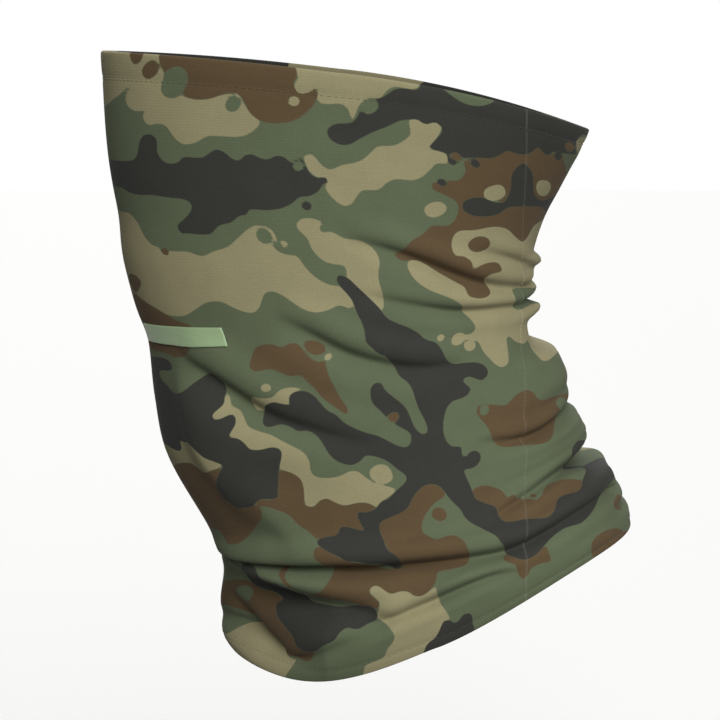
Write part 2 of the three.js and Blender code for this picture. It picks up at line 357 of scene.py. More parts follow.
def near_route(route, round_, up, reach):
    """Which places lie near a route, how far above or below it they are, and its depth there."""
    points = np.array(route, float)
    steps = np.linspace(0, len(points) - 1, ROUTE_STEPS * (len(points) - 1) + 1)
    line = np.stack([np.interp(steps, range(len(points)), points[:, k]) for k in range(3)], 1)
    for _ in range(ROUTE_PASSES):
        line[1:-1] = (line[:-2] + line[1:-1] * 2 + line[2:]) / 4
    near = (round_ > line[:, 0].min() - reach) & (round_ < line[:, 0].max() + reach)
    near &= (up > line[:, 1].min() - reach) & (up < line[:, 1].max() + reach)
    place = np.stack([round_[near], up[near]], -1)
    signed = np.full(len(place), 1e9)
    depth = np.zeros(len(place))
    for start, end in zip(line[:-1], line[1:]):
        along = end[:2] - start[:2]
        t = np.clip((place - start[:2]) @ along / (along @ along), 0, 1)
        gap = place - (start[:2] + t[:, None] * along)
        distance = np.hypot(gap[:, 0], gap[:, 1])
        above = (along[0] * gap[:, 1] - along[1] * gap[:, 0]) * along[0] >= 0
        closer = distance < np.abs(signed)
        signed = np.where(closer, np.where(above, distance, -distance), signed)
        depth = np.where(closer, start[2] + (end[2] - start[2]) * t, depth)
    return near, signed, depth


def bell(distance, middle, width):
    """A smooth rise to 1 at the middle."""
    return np.exp(-(((distance - middle) / width) ** 2))


def relief(round_, up):
    """How far folds move each place of the cloth: outwards, and down along the cloth."""
    out = np.zeros_like(up)
    down = np.zeros_like(up)
    for route, width, overhang in CREASES:
        near, distance, depth = near_route(route, round_, up, CREASE_REACH * width)
        away = distance / width
        valley = bell(away, 0, np.where(away > 0, VALLEY_ABOVE, VALLEY_BELOW))
        lip = LIP_HEIGHT * bell(away, LIP_MIDDLE, LIP_WIDTH)
        sill = SILL_HEIGHT * bell(away, SILL_MIDDLE, SILL_WIDTH)
        out[near] += depth * (lip + sill - valley)
        deepest = max(point[2] for point in route)
        down[near] += overhang * depth / deepest * bell(away, HANG_MIDDLE, HANG_WIDTH)
    for route, reach_above, reach_below in RIDGES:
        near, distance, height = near_route(route, round_, up, RIDGE_REACH * reach_above)
        out[near] += height * bell(distance, 0, np.where(distance > 0, reach_above, reach_below))
    for centre_round, centre_up, reach_round, reach_up, height in SWELLINGS:
        apart = ((round_ - centre_round) / reach_round) ** 2 + ((up - centre_up) / reach_up) ** 4
        out += height * np.exp(-apart)
    return out, down


def hem_relief(up):
    """The doubled edges stand proud, and their stitches pull the cloth in."""
    edge = np.minimum(up, FLAT_LENGTH - up)
    swell = HEM_SWELL * np.clip(1 - ((edge - HEM_STITCH / 2) / (HEM_STITCH / 2)) ** 2, 0, 1)
    return swell - TUCK * bell(edge, HEM_STITCH, TUCK_WIDTH)


# Both sides of the wearer fold alike: a place right of the back's middle takes the fold of its
# twin on the left, shifted a little so that the two sides aren't mirror images.
flat_round, flat_up = np.meshgrid(TABLE_ROUND, TABLE_UP)
from_back = np.mod(flat_round - back_middles, FLAT_GIRTH)
twin_round = back_middles + np.minimum(from_back, FLAT_GIRTH - from_back)
right_side = np.clip(from_back / FLAT_GIRTH * 2 - 1, 0, 1)
wander = WANDER * np.sin(math.pi * right_side) * np.sin(5 * math.pi * right_side + flat_up / 40)
fold_out, fold_down = relief(twin_round + wander, flat_up + WANDER_UP * wander)
calm = np.clip(np.minimum(flat_up, FLAT_LENGTH - flat_up) / CALM_EDGE, 0, 1)
seen_up = flat_up - fold_down * calm
moved_cloth = look_up(smooth_cloth, flat_round, seen_up)
moved_out = look_up(smooth_out, flat_round, seen_up)
stand_off = fold_out * (EDGE_FOLD + (1 - EDGE_FOLD) * calm) + hem_relief(flat_up)
folded_cloth = moved_cloth + moved_out * stand_off[..., None]
folded_out = outward(folded_cloth)

# On the inside, a fold's hollows are rounded off, so that they stay clear of the printed face:
# the inner face goes as far in as the lowest place of the table a few rows and columns away.
ROWS_AWAY = (-2, -1, 1, 2)
COLUMNS_AWAY = (-3, -2, -1, 1, 2, 3)
EDGE_ROWS = 3  # rows at each end, where the inner face follows the outer one
right_round = list(range(TABLE_COLUMNS)) + [0]
lowest = stand_off.copy()
for rows in ROWS_AWAY:
    lowest = np.minimum(lowest, np.roll(stand_off, rows, 0))
for columns in COLUMNS_AWAY:
    lowest = np.minimum(lowest, np.roll(lowest[:, :-1], columns, 1)[:, right_round])
lowest[:EDGE_ROWS], lowest[-EDGE_ROWS:] = stand_off[:EDGE_ROWS], stand_off[-EDGE_ROWS:]
inner_drop = moved_out * (lowest - stand_off)[..., None]


def worn(round_, up, out):
    """Where a place on the cloth is when worn, so far out from the printed face, in metres."""
    out = np.asarray(out, float)[..., None]
    place = look_up(folded_cloth, round_, up) + look_up(folded_out, round_, up) * out
    return (place + look_up(inner_drop, round_, up) * np.clip(-out / KNIT, 0, 1)) * MM


# --- The print ----------------------------------------------------------------------------------
# Woodland camouflage, sublimation printed on the flat panel: tan, brown and black patches on a
# green ground, each colour over the one before. Each outline is drawn as a few points, (round, up).

TAN = [
    [(-62, 285), (-50, 285), (-38, 284.5), (-33, 282), (-35, 279), (-38, 276.5), (-50, 275.5),
     (-70, 275), (-76, 279), (-72, 284)],
    [(-64, 236), (-20, 238), (0, 236), (30, 235), (44, 226), (48, 218), (57, 217), (62, 215),
     (62.5, 211), (60, 206), (55, 202), (49, 199), (43, 195), (39, 190), (35.5, 185), (33.5, 180.5),
     (35, 178.5), (38, 178.2), (40, 179.7), (43, 179.3), (44, 177), (43.3, 174), (40.5, 173),
     (38.5, 174), (37.5, 175.5), (34, 174.8), (30.5, 173.5), (26, 167), (21, 161.5), (17, 157.5),
     (13.5, 155.8), (10.5, 157), (10, 160), (11.5, 167), (12.5, 172), (10.5, 172.5), (6, 169),
     (1, 166.7), (-4, 165.5), (-9, 166.5), (-13, 163), (-12.5, 155), (-15, 151), (-30, 150.5),
     (-50, 149.5), (-64, 147), (-80, 152), (-92, 170), (-84, 190), (-88, 210), (-76, 228)],
    [(41, 292), (42, 288.5), (45, 287.5), (50, 287.5), (53, 285.5), (56, 282), (60, 281.5),
     (64, 278), (66, 274), (68, 271.5), (68, 276), (70, 278), (75, 277.5), (78, 277.8),
     (80, 281), (83, 280), (86, 281.5), (85.5, 284), (83.5, 287), (85.5, 288.5), (85.5, 292)],
    [(101.5, 269), (104, 266), (110, 263), (118, 262.7), (124, 262.5), (130, 260), (136, 259.5),
     (139, 262), (141, 265.5), (145, 266.3), (150, 265.8), (152, 268), (149.5, 270.5), (148, 272),
     (150, 271), (155, 270.3), (159.5, 272), (160, 274.5), (157, 277), (153, 279.5), (158, 278),
     (164, 275.5), (170, 274), (178, 272), (200, 272), (208, 280), (206, 292), (134, 292),
     (136, 284), (134, 280), (128, 276), (120, 275.7), (112, 278.3), (107.5, 278.5), (106, 275),
     (104.5, 271.5)],
    [(35, 274), (37, 275.5), (41, 274), (43.5, 275.5), (46.5, 275), (47, 269), (50, 266),
     (54, 263.5), (60, 262.5), (64, 259), (68, 256), (75, 254), (80.5, 252), (83, 254), (85, 257.5),
     (88.5, 256.5), (88, 251), (85, 248.5), (82, 248), (84, 244.5), (81, 239), (79, 238), (76, 239),
     (73, 242), (70, 244.5), (64, 245), (60, 248), (56, 249.8), (50, 249.8), (46, 251.5), (42, 255),
     (39, 258), (35, 258.5), (34.5, 262.5), (38, 263.5), (41, 264), (38, 268)],
    [(90, 231.3), (93, 232.8), (98, 232.5), (101, 229.5), (98.5, 225), (98.5, 221), (95.5, 216),
     (91, 214.5), (88, 214), (88, 210), (92, 207), (90, 200), (83, 193), (76, 193), (75, 199),
     (75.8, 207), (75, 211.5), (73.3, 216), (74, 221), (78, 224.3), (84, 225.2), (88, 227.8),
     (92, 227.5), (92, 229.5)],
    [(92, 205), (96, 206), (100, 208.5), (103.5, 213), (105.5, 218), (109, 218.5), (112.5, 220),
     (113.5, 222.5), (111, 224.5), (111, 227.5), (113, 229.5), (117, 230), (121, 228.5), (127, 225),
     (133, 221.7), (140, 220), (146, 218.3), (152, 220), (160, 220.3), (166, 221.5), (171, 223),
     (174, 226), (176, 231), (180, 234), (188, 234.5), (200, 234.5), (212, 230), (216, 222),
     (210, 212), (204, 204), (192, 201.5), (186, 199.5), (180, 197.5), (175, 195.5), (168, 194.5),
     (162, 195), (156, 197.5), (150, 200), (143, 200), (137, 197), (130, 195), (127, 196.5),
     (125, 200), (123, 203), (119.5, 203.7), (116, 202), (112, 199), (108, 196), (103, 194.3),
     (98, 195), (93, 197), (89, 195.5), (87.5, 197)],
    [(101, 158.7), (104, 160.3), (108, 160.7), (111, 159.8), (113, 157), (118, 156.8), (121, 157.5),
     (124, 156.8), (123, 153.5), (120, 150.5), (117, 150.2), (116.5, 152.5), (113, 154.5),
     (108, 153.5), (104.5, 152.5), (105.8, 156.5), (104, 158.5)],
    [(137, 159.5), (135, 158), (132.5, 154), (128, 151.5), (124, 147), (121, 143.5), (115, 140.5),
     (110, 138.5), (105, 135.5), (100, 132.5), (96, 130), (93, 127), (91.5, 123.5), (91, 119.5),
     (89, 117), (84, 115.7), (79, 116), (75, 117.5), (72, 117), (69.5, 114.5), (66, 111), (62, 109),
     (58, 107), (56.5, 105.5), (59, 103.5), (63, 101), (64.5, 99), (66, 98.8), (68, 101.5),
     (72, 102.5), (78, 102.3), (82, 104.5), (85, 106.5), (88, 106), (91, 103.7), (94, 104.5),
     (94.5, 107), (94.5, 112), (95.5, 116.5), (98, 119), (102, 120.5), (104, 122), (104.3, 131),
     (108, 132.7), (114, 132), (118, 133), (121, 136.5), (124, 138.5), (127.5, 139.5),
     (127.8, 141.5), (127, 145), (128.5, 148.5), (131, 150), (134, 148.5), (137, 148.5),
     (138.5, 150.5), (137, 153), (136, 155), (137, 157.5)],
    [(128.3, 126.5), (131, 125), (134, 124.5), (138, 123), (142, 122.8), (147, 124.5), (151, 125.7),
     (158, 125.2), (165, 124), (171, 122.5), (176, 122), (200, 119), (205, 118.5), (212, 122),
     (208, 127), (200, 130.5), (194, 131.5), (186, 133), (178, 133.3), (168, 132), (159, 131.5),
     (157.3, 133.5), (159.5, 136.3), (153, 136.7), (148, 137), (143, 134.5), (138, 131.5),
     (133, 129)],
    [(61, 53.5), (58.5, 52.5), (56, 49.5), (53.5, 46.7), (50, 46.7), (46.5, 44.8), (44, 42),
     (41.5, 41), (38.5, 42.5), (36.5, 44), (35.5, 39), (34.5, 34), (32.5, 29), (31, 24), (30.8, 20),
     (33, 20.5), (34, 17), (35.5, 12.5), (37, 9.5), (39.5, 7.5), (41, 4), (41.5, -2), (66, -2),
     (65.5, 4), (64.5, 7.5), (61, 8.5), (57.5, 9), (56, 11.5), (54.5, 16), (52.5, 19), (51.5, 23),
     (53, 27.5), (55.5, 31.5), (58, 34.5), (59.3, 37.5), (58, 40.5), (58, 44), (60.5, 48),
     (62, 51)],
    [(96.5, 13), (99, 12), (102, 13), (104, 17), (105, 23.5), (110, 24.3), (115, 23.2),
     (121, 25.8), (125, 28.5), (128, 25), (132, 20), (137, 16), (143, 11), (149, 8), (157, 5.5),
     (165, 4.5), (174, 4), (176, -3), (104, -3), (101, 3), (98.5, 8)],
]

BROWN = [
    [(-64, 262), (-40, 262), (-30, 266), (-25, 271.5), (-18, 274), (-12, 270.5), (-6, 273.5),
     (-2, 269.5), (5, 268), (9, 268.5), (13, 265.5), (18, 263.5), (24, 263), (28, 260), (28, 256),
     (31, 252), (36, 251), (41, 250.5), (43, 247), (39, 245), (34, 242), (35, 237), (40, 232),
     (47, 231.5), (52, 228), (58, 225), (63, 220.5), (66.5, 218.5), (64, 216), (57, 216), (50, 211),
     (43, 206), (39, 203), (39, 199), (35, 197.3), (30, 197.3), (25, 200), (25, 203), (29, 207),
     (26, 209.5), (19, 211), (19, 214.5), (24, 215.3), (31, 214), (35.5, 212), (35, 216),
     (38, 218.5), (42, 219), (41, 225), (37, 229.5), (29, 230.5), (18, 232.5), (11, 231.5),
     (5, 227.5), (0, 225.5), (-5, 227.5), (-11, 233), (-18, 235), (-30, 236), (-45, 234),
     (-54, 229), (-64, 221), (-72, 226), (-82, 240), (-78, 255)],
    [(85.5, 292), (84, 287.5), (86, 284), (85, 280.5), (81.5, 281), (77.5, 283.5), (79, 278.5),
     (83, 274), (89, 270), (96, 268.5), (101, 269), (104.5, 271.5), (106, 276), (107.5, 278.5),
     (113, 277.8), (120, 275.7), (127, 275.5), (133, 278), (136, 283), (136, 292)],
    [(200, 203), (192, 201.5), (186, 199.5), (180, 197.5), (174, 195), (168, 192.5), (160, 190.5),
     (160, 188), (200, 186), (208, 188), (214, 195), (208, 201)],
    [(0, 139.8), (4, 139.5), (7, 138), (10, 135.5), (14, 136.5), (18, 138), (22, 139.5),
     (24.5, 138), (24, 135), (22, 131.5), (20, 129), (18, 125), (16, 120), (14, 117), (12, 114.5),
     (8, 112.5), (3, 111), (-3, 109), (-8, 107), (-13, 106.7), (-17, 109), (-22, 112), (-28, 115),
     (-35, 118), (-42, 120), (-46, 124.5), (-38, 127), (-28, 129), (-20, 130.3), (-12, 131),
     (-8, 133), (-5, 137), (-2, 139.3)],
    [(79.5, 145.2), (80, 148), (84, 153), (88, 159), (92, 165), (95, 170.5), (95.5, 172),
     (98, 171.5), (102, 173.5), (106, 177), (110, 180.8), (113, 180.8), (116, 179.5), (120, 181),
     (125, 181), (127.7, 179.5), (128, 175), (127.3, 171.5), (124, 169.5), (118, 170), (113, 168),
     (108, 166), (104, 166), (100, 162.5), (96, 159), (92, 154.5), (87, 150.5), (83, 147.5)],
    [(97, 175.5), (98, 178.5), (102, 181), (107, 181.3), (105, 177.5), (100.5, 174.8)],
    [(159, 183), (160, 179.5), (163, 177.5), (170, 176.7), (175, 178), (182, 178.7), (200, 179),
     (210, 181), (200, 184)],
    [(129, 125.5), (134, 124), (142, 122.5), (151, 125.5), (160, 124.8), (172, 122), (200, 118.5),
     (212, 114), (218, 105), (214, 94), (205, 86), (200, 83), (190, 84), (180, 85.5), (170, 88),
     (160, 90.5), (152, 92), (146, 91.5), (141, 88), (138, 86), (132, 86.5), (127, 89),
     (122, 93.5), (118, 97.5), (113.5, 101.5), (113, 106), (117, 108), (122, 107), (128, 109),
     (134, 112), (133, 118)],
    [(65, 98.5), (68, 101.5), (72, 102.5), (78, 102.3), (82, 104.5), (85, 106.5), (88, 106),
     (91, 103.7), (94.5, 105), (94.5, 112), (95.5, 116.5), (98, 119), (104.5, 121.5),
     (106, 109.5), (114, 110), (117, 108), (112, 107), (106, 104.5), (101, 101), (98, 97),
     (93, 92.5), (88.5, 88), (80, 87), (68, 87), (68, 95)],
    [(24.5, 96), (20, 96.3), (15, 93), (11.5, 89.5), (9.5, 85), (7.5, 80.8), (3, 80.7), (0, 79),
     (-3.5, 75.5), (-6, 73), (-9, 75), (-11, 78), (-15, 79.5), (-19, 78.5), (-25, 75),
     (-31, 70.7), (-34.5, 68), (-32, 63), (-28, 61), (-10, 54), (6, 62), (14, 78), (20, 86),
     (25, 92)],
    [(8, 47), (9.5, 44), (8, 41), (5, 37), (4, 33), (3, 28), (1, 23.5), (-0.5, 24.5), (-2, 28.5),
     (-4, 29), (-8, 27.5), (-10.5, 25.5), (-10.5, 29), (-9.5, 34), (-9, 38), (-6, 40), (0, 38),
     (5, 43)],
    [(-66, 2), (-60, 8), (-55, 15), (-50, 21), (-45, 23.5), (-40, 25), (-35, 24.5), (-32, 22),
     (-31.5, 16), (-32, 8), (-34, 2)],
    [(-66, 41), (-60, 41), (-56, 39.5), (-54, 37), (-56, 34.5), (-60, 32), (-66, 30)],
    [(45, 105), (42, 105), (39, 103), (36.5, 100), (37, 97), (41, 95), (44, 91), (45.5, 87),
     (45, 81), (41.5, 76.5), (38, 73), (34.5, 73.5), (31, 72), (27, 66.5), (25, 61), (23.5, 54),
     (25, 50.5), (30, 51), (36, 52), (36.5, 47), (38.5, 43), (41.5, 41), (44.5, 42.3), (47, 45.5),
     (50, 46.7), (53.5, 46.7), (56.5, 50), (59.5, 53.3), (61.7, 53.3), (62, 50.5), (60, 46.5),
     (58, 44), (58.5, 41), (62, 42), (68, 46), (75, 49), (82, 51), (90, 54), (97, 59), (101, 64),
     (104.5, 68), (106, 74), (103, 74), (102, 69), (98, 63), (92, 56), (86, 54), (82, 55.5),
     (80, 60), (81, 66), (84, 72), (88, 78), (88.7, 84), (86, 84), (76, 74), (66, 68), (56, 62),
     (54, 66), (57, 73), (61, 82), (63.5, 90), (60, 93), (54, 95), (51, 99), (48.5, 103)],
    [(84.5, 24), (86, 20), (88, 15.5), (91, 13.5), (97, 14.3), (102, 13), (104, 17), (105, 24),
     (110, 24.3), (115, 23), (121, 25.5), (127, 29.5), (138, 29.5), (152, 27), (166, 20),
     (178, 10), (190, -3), (214, -3), (220, 12), (224, 26), (215, 36), (205, 38), (190, 36),
     (178, 36), (166, 37), (155, 41), (146, 46), (138, 49.5), (131, 51), (122, 49.7), (113, 50),
     (107, 47.5), (109.5, 43), (106, 38.5), (100, 35), (95, 31), (92.5, 26), (88, 23.3)],
]

BLACK = [
    [(-72, 292), (-72, 286.5), (-50, 286.5), (-38, 286), (-33, 283), (-34, 278), (-38, 275.5),
     (-45, 275), (-33, 274), (-22, 273.5), (-16, 273.5), (-12, 270.5), (-9, 271.5), (-6, 273.5),
     (-3, 270.5), (0, 268.5), (5, 268), (9, 268.5), (13, 265.5), (17, 263.5), (22, 263),
     (27, 262), (30, 259.5), (33, 258), (34.5, 259), (34.5, 262.5), (38, 263.5), (41, 264),
     (38, 268), (35, 272), (35, 274), (37, 275.5), (41, 274), (43.5, 275.5), (46.5, 275),
     (50, 274), (55, 271), (60, 268.5), (66, 265), (70, 262.5), (74, 262), (77, 264),
     (77.5, 267), (74, 270), (68, 271), (65, 274), (63, 278), (60, 281), (56, 282), (53, 284),
     (50, 286.5), (46, 287.5), (43, 287.5), (41, 289), (40, 292)],
    [(1, 264), (5, 261), (7.5, 257), (8, 251), (9.5, 247), (12, 244), (17, 243.5), (22, 245),
     (27, 244.5), (31.5, 242), (32, 239), (29, 237), (22, 236.8), (15, 238.5), (10, 241.5),
     (4, 242.5), (-5, 243), (-15, 243), (-22, 241), (-35, 239), (-62, 239), (-74, 241),
     (-72, 247), (-62, 249), (-40, 250), (-25, 248), (-15, 246.5), (-10, 247), (-6, 250),
     (-5, 255), (-3.5, 260)],
    [(82, 247.5), (83, 249), (85.5, 248.5), (88, 250), (88.5, 254), (89.5, 256), (92, 255.5),
     (94, 254), (96, 256), (99, 256.3), (102, 255), (105, 255), (108, 256.5), (111, 256),
     (114, 254), (116.5, 254.5), (119, 257), (122, 257.8), (125, 256.5), (129, 254.7),
     (137, 254.7), (140, 253), (144, 252.3), (147, 253), (149, 256), (148, 259), (147.5, 261),
     (150, 262.5), (154, 262), (157, 260), (160, 256), (163, 253.8), (170, 253), (180, 253),
     (192, 253), (200, 250), (207, 247.5), (203, 243), (192, 243.5), (180, 243.5), (175, 242),
     (168, 241), (160, 241), (150, 240), (144, 239.5), (141, 238), (143, 235), (148, 232),
     (152.5, 229.5), (152, 227), (149, 227), (143, 226.5), (138, 226.7), (135, 228.5),
     (132, 230), (127, 231), (122, 233.5), (119, 234), (117, 235.8), (110, 235.7),
     (104, 236.5), (99, 238.5), (95, 241), (91, 241.5), (87, 243.5), (84.5, 246)],
    [(91, 210), (92.6, 208), (91.5, 205), (88, 199.5), (86, 193), (84, 189), (82.5, 185),
     (81, 180), (77.5, 176.5), (74, 173.5), (71, 172), (68, 169), (65, 165.5), (62, 161),
     (58, 157.5), (55.5, 154), (53, 149), (50, 143), (47, 138), (45, 133.5), (44.8, 130.5),
     (46.5, 130.3), (50, 134), (53, 140), (56, 145), (60, 149), (64, 152.5), (67, 155.5),
     (69, 158.5), (71.5, 159), (72.7, 157), (72, 153), (70, 149), (66, 145), (62, 140.5),
     (58, 137), (54, 134), (51.5, 131.5), (51, 127), (52.5, 125.3), (56, 126.5), (60, 129.5),
     (65, 133), (70, 135.2), (75, 138), (80, 141.5), (84, 145.5), (88, 148), (92, 152),
     (96, 156), (100, 158.3), (104, 158.5), (105.8, 157), (105, 153.5), (104.5, 152.7),
     (108, 153.3), (112, 154.5), (115, 153.5), (116.7, 151), (116.5, 147), (115, 143.5),
     (112, 142.2), (108, 143), (103, 141.5), (99, 139), (95, 138.8), (91, 136.5), (87.5, 132.5),
     (84, 127), (81, 123.5), (77, 121), (74, 120.3), (71, 121.5), (69, 123.8), (65, 123),
     (60, 120), (56, 115.5), (52.5, 111.5), (52.5, 109), (57, 105), (60, 102), (63, 101),
     (65, 98.3), (69, 97.3), (72, 98.3), (72.5, 96), (71, 92), (69.5, 88.5), (73, 90), (77, 92),
     (79.5, 92.3), (81, 89), (88, 88.5), (89, 87), (86, 83.5), (82, 80), (78, 76.5), (74, 72.5),
     (70, 71), (65, 68), (60, 66.5), (56, 63), (53, 60.5), (52, 63), (53, 68), (57, 73),
     (59, 77), (61, 82), (63, 87), (63, 91), (60, 92.5), (55, 94), (52, 96), (50, 100),
     (48, 103), (45, 105), (42, 105), (39, 103), (37, 100), (35, 96), (32, 91), (30, 88),
     (27, 81), (23, 75), (20, 71), (18, 68), (16, 65), (13, 60), (11, 55), (9, 51), (7.5, 46),
     (5, 42), (2, 38), (-1, 36.3), (-4, 36.5), (-7, 38.5), (-10, 41), (-14, 43), (-19, 43.8),
     (-23, 42.5), (-27, 41), (-32, 42), (-40, 45), (-48, 48), (-56, 50.5), (-64, 52),
     (-76, 53), (-84, 62), (-76, 70), (-64, 73), (-56, 74.5), (-48, 75), (-43, 71.5),
     (-38, 69.5), (-34, 67), (-32, 64.5), (-28, 62.5), (-24, 64), (-20, 66), (-17, 66),
     (-15, 63.5), (-13, 59), (-10.5, 57), (-7, 58), (-3, 61), (1, 64), (5, 65.5), (9, 68),
     (11, 71), (12.5, 76), (14.5, 81.5), (18, 85), (21, 88), (23, 90), (24.5, 94), (26, 99),
     (28, 105), (28.5, 108), (26, 107.5), (23.5, 108), (21.5, 110.5), (21.5, 113.5),
     (23.5, 116), (26, 116), (28, 114), (29.5, 116), (30, 120), (33.5, 121), (36, 124),
     (38, 130), (38.5, 137), (38, 141.5), (36, 144), (33, 144.5), (30, 145.5), (29, 148.5),
     (31.5, 151), (33.5, 154), (31.5, 155), (28, 153.5), (24, 151.5), (21.5, 154), (23, 158),
     (28, 161.5), (34, 162.7), (39, 163), (43, 165.5), (47, 171), (51, 176), (56, 178.3),
     (60, 182), (65, 185.3), (70, 187.8), (74, 190.5), (77, 195), (81, 200), (85, 205),
     (88, 208.8)],
    [(104.3, 131), (103.5, 128), (104.5, 122), (105.3, 113), (106, 109.5), (113, 110),
     (117, 107), (121, 106.7), (126, 106.5), (129, 109), (133.5, 110), (134, 114),
     (132.5, 119), (130, 123.5), (128.5, 126), (132, 128), (138, 130.5), (143, 134),
     (149, 137), (154, 136.5), (159, 136.5), (157.5, 133.5), (159, 131.5), (166, 131.7),
     (175, 133), (186, 133), (194, 131.5), (200, 130.5), (208, 134), (216, 143), (220, 155),
     (214, 165), (206, 172), (200, 175), (190, 176), (180, 176), (174, 174.7), (170.5, 171.5),
     (175, 170.5), (181, 170.5), (184, 168.8), (180, 166), (174, 164), (167, 161.2),
     (161, 160.8), (157, 162), (153, 166), (149, 169), (145, 169), (141, 166), (138, 162),
     (137, 157.5), (136, 155), (138.5, 151), (137, 148.5), (134, 148.5), (131, 150),
     (128.5, 148.5), (127, 145), (127.8, 141), (127.5, 139.5), (124, 138.5), (120, 135.5),
     (117.5, 132.8), (113, 132), (108, 132.7)],
    [(-64, 73), (-52, 76), (-44, 79), (-38, 82), (-33, 86), (-31, 90), (-32, 93.5), (-36, 95),
     (-42, 93.5), (-50, 90), (-56, 86), (-64, 80)],
    [(22.2, 16), (23, 18.5), (25, 19.8), (26.5, 18), (28, 15.5), (29.5, 17.5), (31, 20.5),
     (32.7, 21.3), (34, 18), (35.5, 13), (37.5, 9), (39.5, 7.5), (41, 4), (41.5, -3),
     (22.5, -3), (22, 8)],
    [(60, 41.5), (66, 44.5), (75, 45.5), (84, 47.5), (92, 49.5), (98, 57), (103, 60.5),
     (111, 61), (114, 65.5), (118, 69.3), (123, 71.3), (127.5, 70.3), (130.5, 66), (132, 60),
     (131.5, 54), (128, 50.7), (121, 50), (113, 50.3), (107, 48), (110, 45), (107, 39.5),
     (101, 35.5), (96, 31.5), (93.5, 26.5), (89, 23.3), (84, 24), (79.5, 27.3), (75, 29.5),
     (73, 33), (70.5, 34.7), (66.5, 32.7), (63, 34.3), (59.3, 35.5)],
]

# small spots and the green patches that lie over the other colours
SPOTS = [
    ("tan", [(11, 250), (13, 251.8), (17, 251), (21, 248.5), (21.5, 245.5), (18.5, 244), (14, 245),
             (11, 247.5)]),
    ("tan", [(-20, 253), (-18, 256), (-13, 257.3), (-8, 256), (-7, 253), (-9.5, 249.5),
             (-14, 248.6), (-18.5, 250)]),
    ("tan", [(39, 240.5), (41, 241.7), (45, 241), (48.5, 238), (48, 235.5), (45.5, 235),
             (41.5, 236.5), (39, 239)]),
    ("tan", [(107, 223.5), (109, 224.3), (110.3, 222), (108.5, 221.5)]),
    ("tan", [(31, 170), (31.5, 172.5), (34, 174.5), (36.8, 174), (37, 171.5), (34.5, 169),
             (32, 168.8)]),
    ("tan", [(47.7, 177.5), (48, 179.5), (50.5, 180), (51, 178), (49.5, 176.3), (48.3, 176.5)]),
    ("tan", [(85.3, 279), (88, 279), (89.5, 276), (87, 275.5), (85, 277.3)]),
    ("tan", [(58, 113.5), (60, 117.8), (64, 119), (67, 116.5), (66.5, 113), (63, 110), (60, 109.7),
             (58, 111)]),
    ("tan", [(114.5, 160.5), (116, 163), (119, 163.5), (119, 161), (116.5, 159.7)]),
    ("tan", [(93.2, 173), (94.5, 175), (96.5, 174.5), (96, 172.3), (94.3, 171.8)]),
    ("brown", [(28.5, 262), (31, 264), (33.5, 262), (31, 260)]),
    ("brown", [(137.8, 286.5), (139.5, 288), (144, 286.5), (147, 283.5), (146, 281.5), (142.5, 282),
               (139, 284)]),
    ("brown", [(144.5, 290), (147, 287), (151, 286.5), (151.5, 292), (144.5, 292)]),
    ("brown", [(22.5, 226), (25, 227.7), (30, 227), (34, 223.5), (33, 221), (29, 220.5),
               (24, 222.5)]),
    ("brown", [(162, 220.8), (164, 221.7), (166.7, 220.3), (164.5, 218.8), (162.5, 219.3)]),
    ("brown", [(187.5, 208.5), (190, 210.5), (200, 211), (204, 208), (200, 204.5), (194, 204.5)]),
    ("brown", [(57.5, 141), (59.5, 143.5), (62, 143), (62, 140.5), (59.5, 138.5), (57.8, 139.3)]),
    ("brown", [(35.5, 85), (36, 89), (38.5, 92), (41, 92), (41.8, 89), (40, 86), (37.5, 84)]),
    ("brown", [(4.5, 81.5), (5.5, 83.5), (8, 84), (8.5, 81.7), (6, 81)]),
    ("brown", [(-6.5, 76), (-5, 79.5), (-3.5, 79.5), (-4.5, 76)]),
    ("brown", [(-33, 278), (-28, 280), (-23, 279), (-24, 276), (-30, 275.5)]),
    ("black", [(-22.8, 271.2), (-19.5, 273.4), (-16.2, 271.2), (-19.5, 269)]),
    ("black", [(21.1, 260), (23.5, 261.9), (25.9, 260), (23.5, 258.1)]),
    ("black", [(36.3, 250), (38.5, 251.7), (40.7, 250), (38.5, 248.3)]),
    ("black", [(91.5, 238.5), (93, 239.6), (95.8, 237.5), (95, 236), (92.8, 236.3)]),
    ("green", [(-62, 274), (-45, 274), (-30, 273), (-24, 271), (-27, 268), (-33, 265), (-50, 263),
               (-62, 264)]),
    ("green", [(12, 292), (15, 288.5), (20, 286), (25, 285.8), (29, 287.5), (34, 292)]),
    ("green", [(126.5, 285.5), (129, 286.5), (134, 285), (138, 281), (139.5, 277), (137, 275.3),
               (132, 276), (128, 279.5), (126, 283)]),
    ("green", [(107.2, 276), (108.5, 277.7), (111.5, 276.5), (113.8, 273.5), (113, 271.7),
               (110, 272), (107.8, 274)]),
    ("green", [(57, 280.5), (59, 281), (62, 279), (63.5, 276.5), (62, 275), (59, 276),
               (57, 278.5)]),
    ("green", [(89.3, 254.3), (91, 254.8), (93.7, 252.5), (93.5, 251), (91.5, 251), (89.5, 252.8)]),
    ("green", [(112.3, 227), (114.5, 228.8), (118, 227.5), (118.7, 224.5), (116.5, 222.8),
               (113.5, 223.8)]),
    ("green", [(8, 199), (4, 199.8), (-4, 199), (-15, 198), (-30, 196), (-50, 193.5), (-64, 192),
               (-64, 183), (-40, 184), (-20, 187), (-8, 187), (2, 187), (7, 191), (9, 196)]),
    ("green", [(18.5, 135), (20, 138.3), (22.7, 138), (22.5, 134.5), (20.5, 133)]),
    ("green", [(-36, 123), (-32, 126.5), (-26, 127.5), (-23.5, 125), (-26, 121), (-32, 120.5)]),
    ("green", [(127, 47), (131, 48.5), (138, 45), (140, 41.5), (134, 39.5), (128.5, 41)]),
]

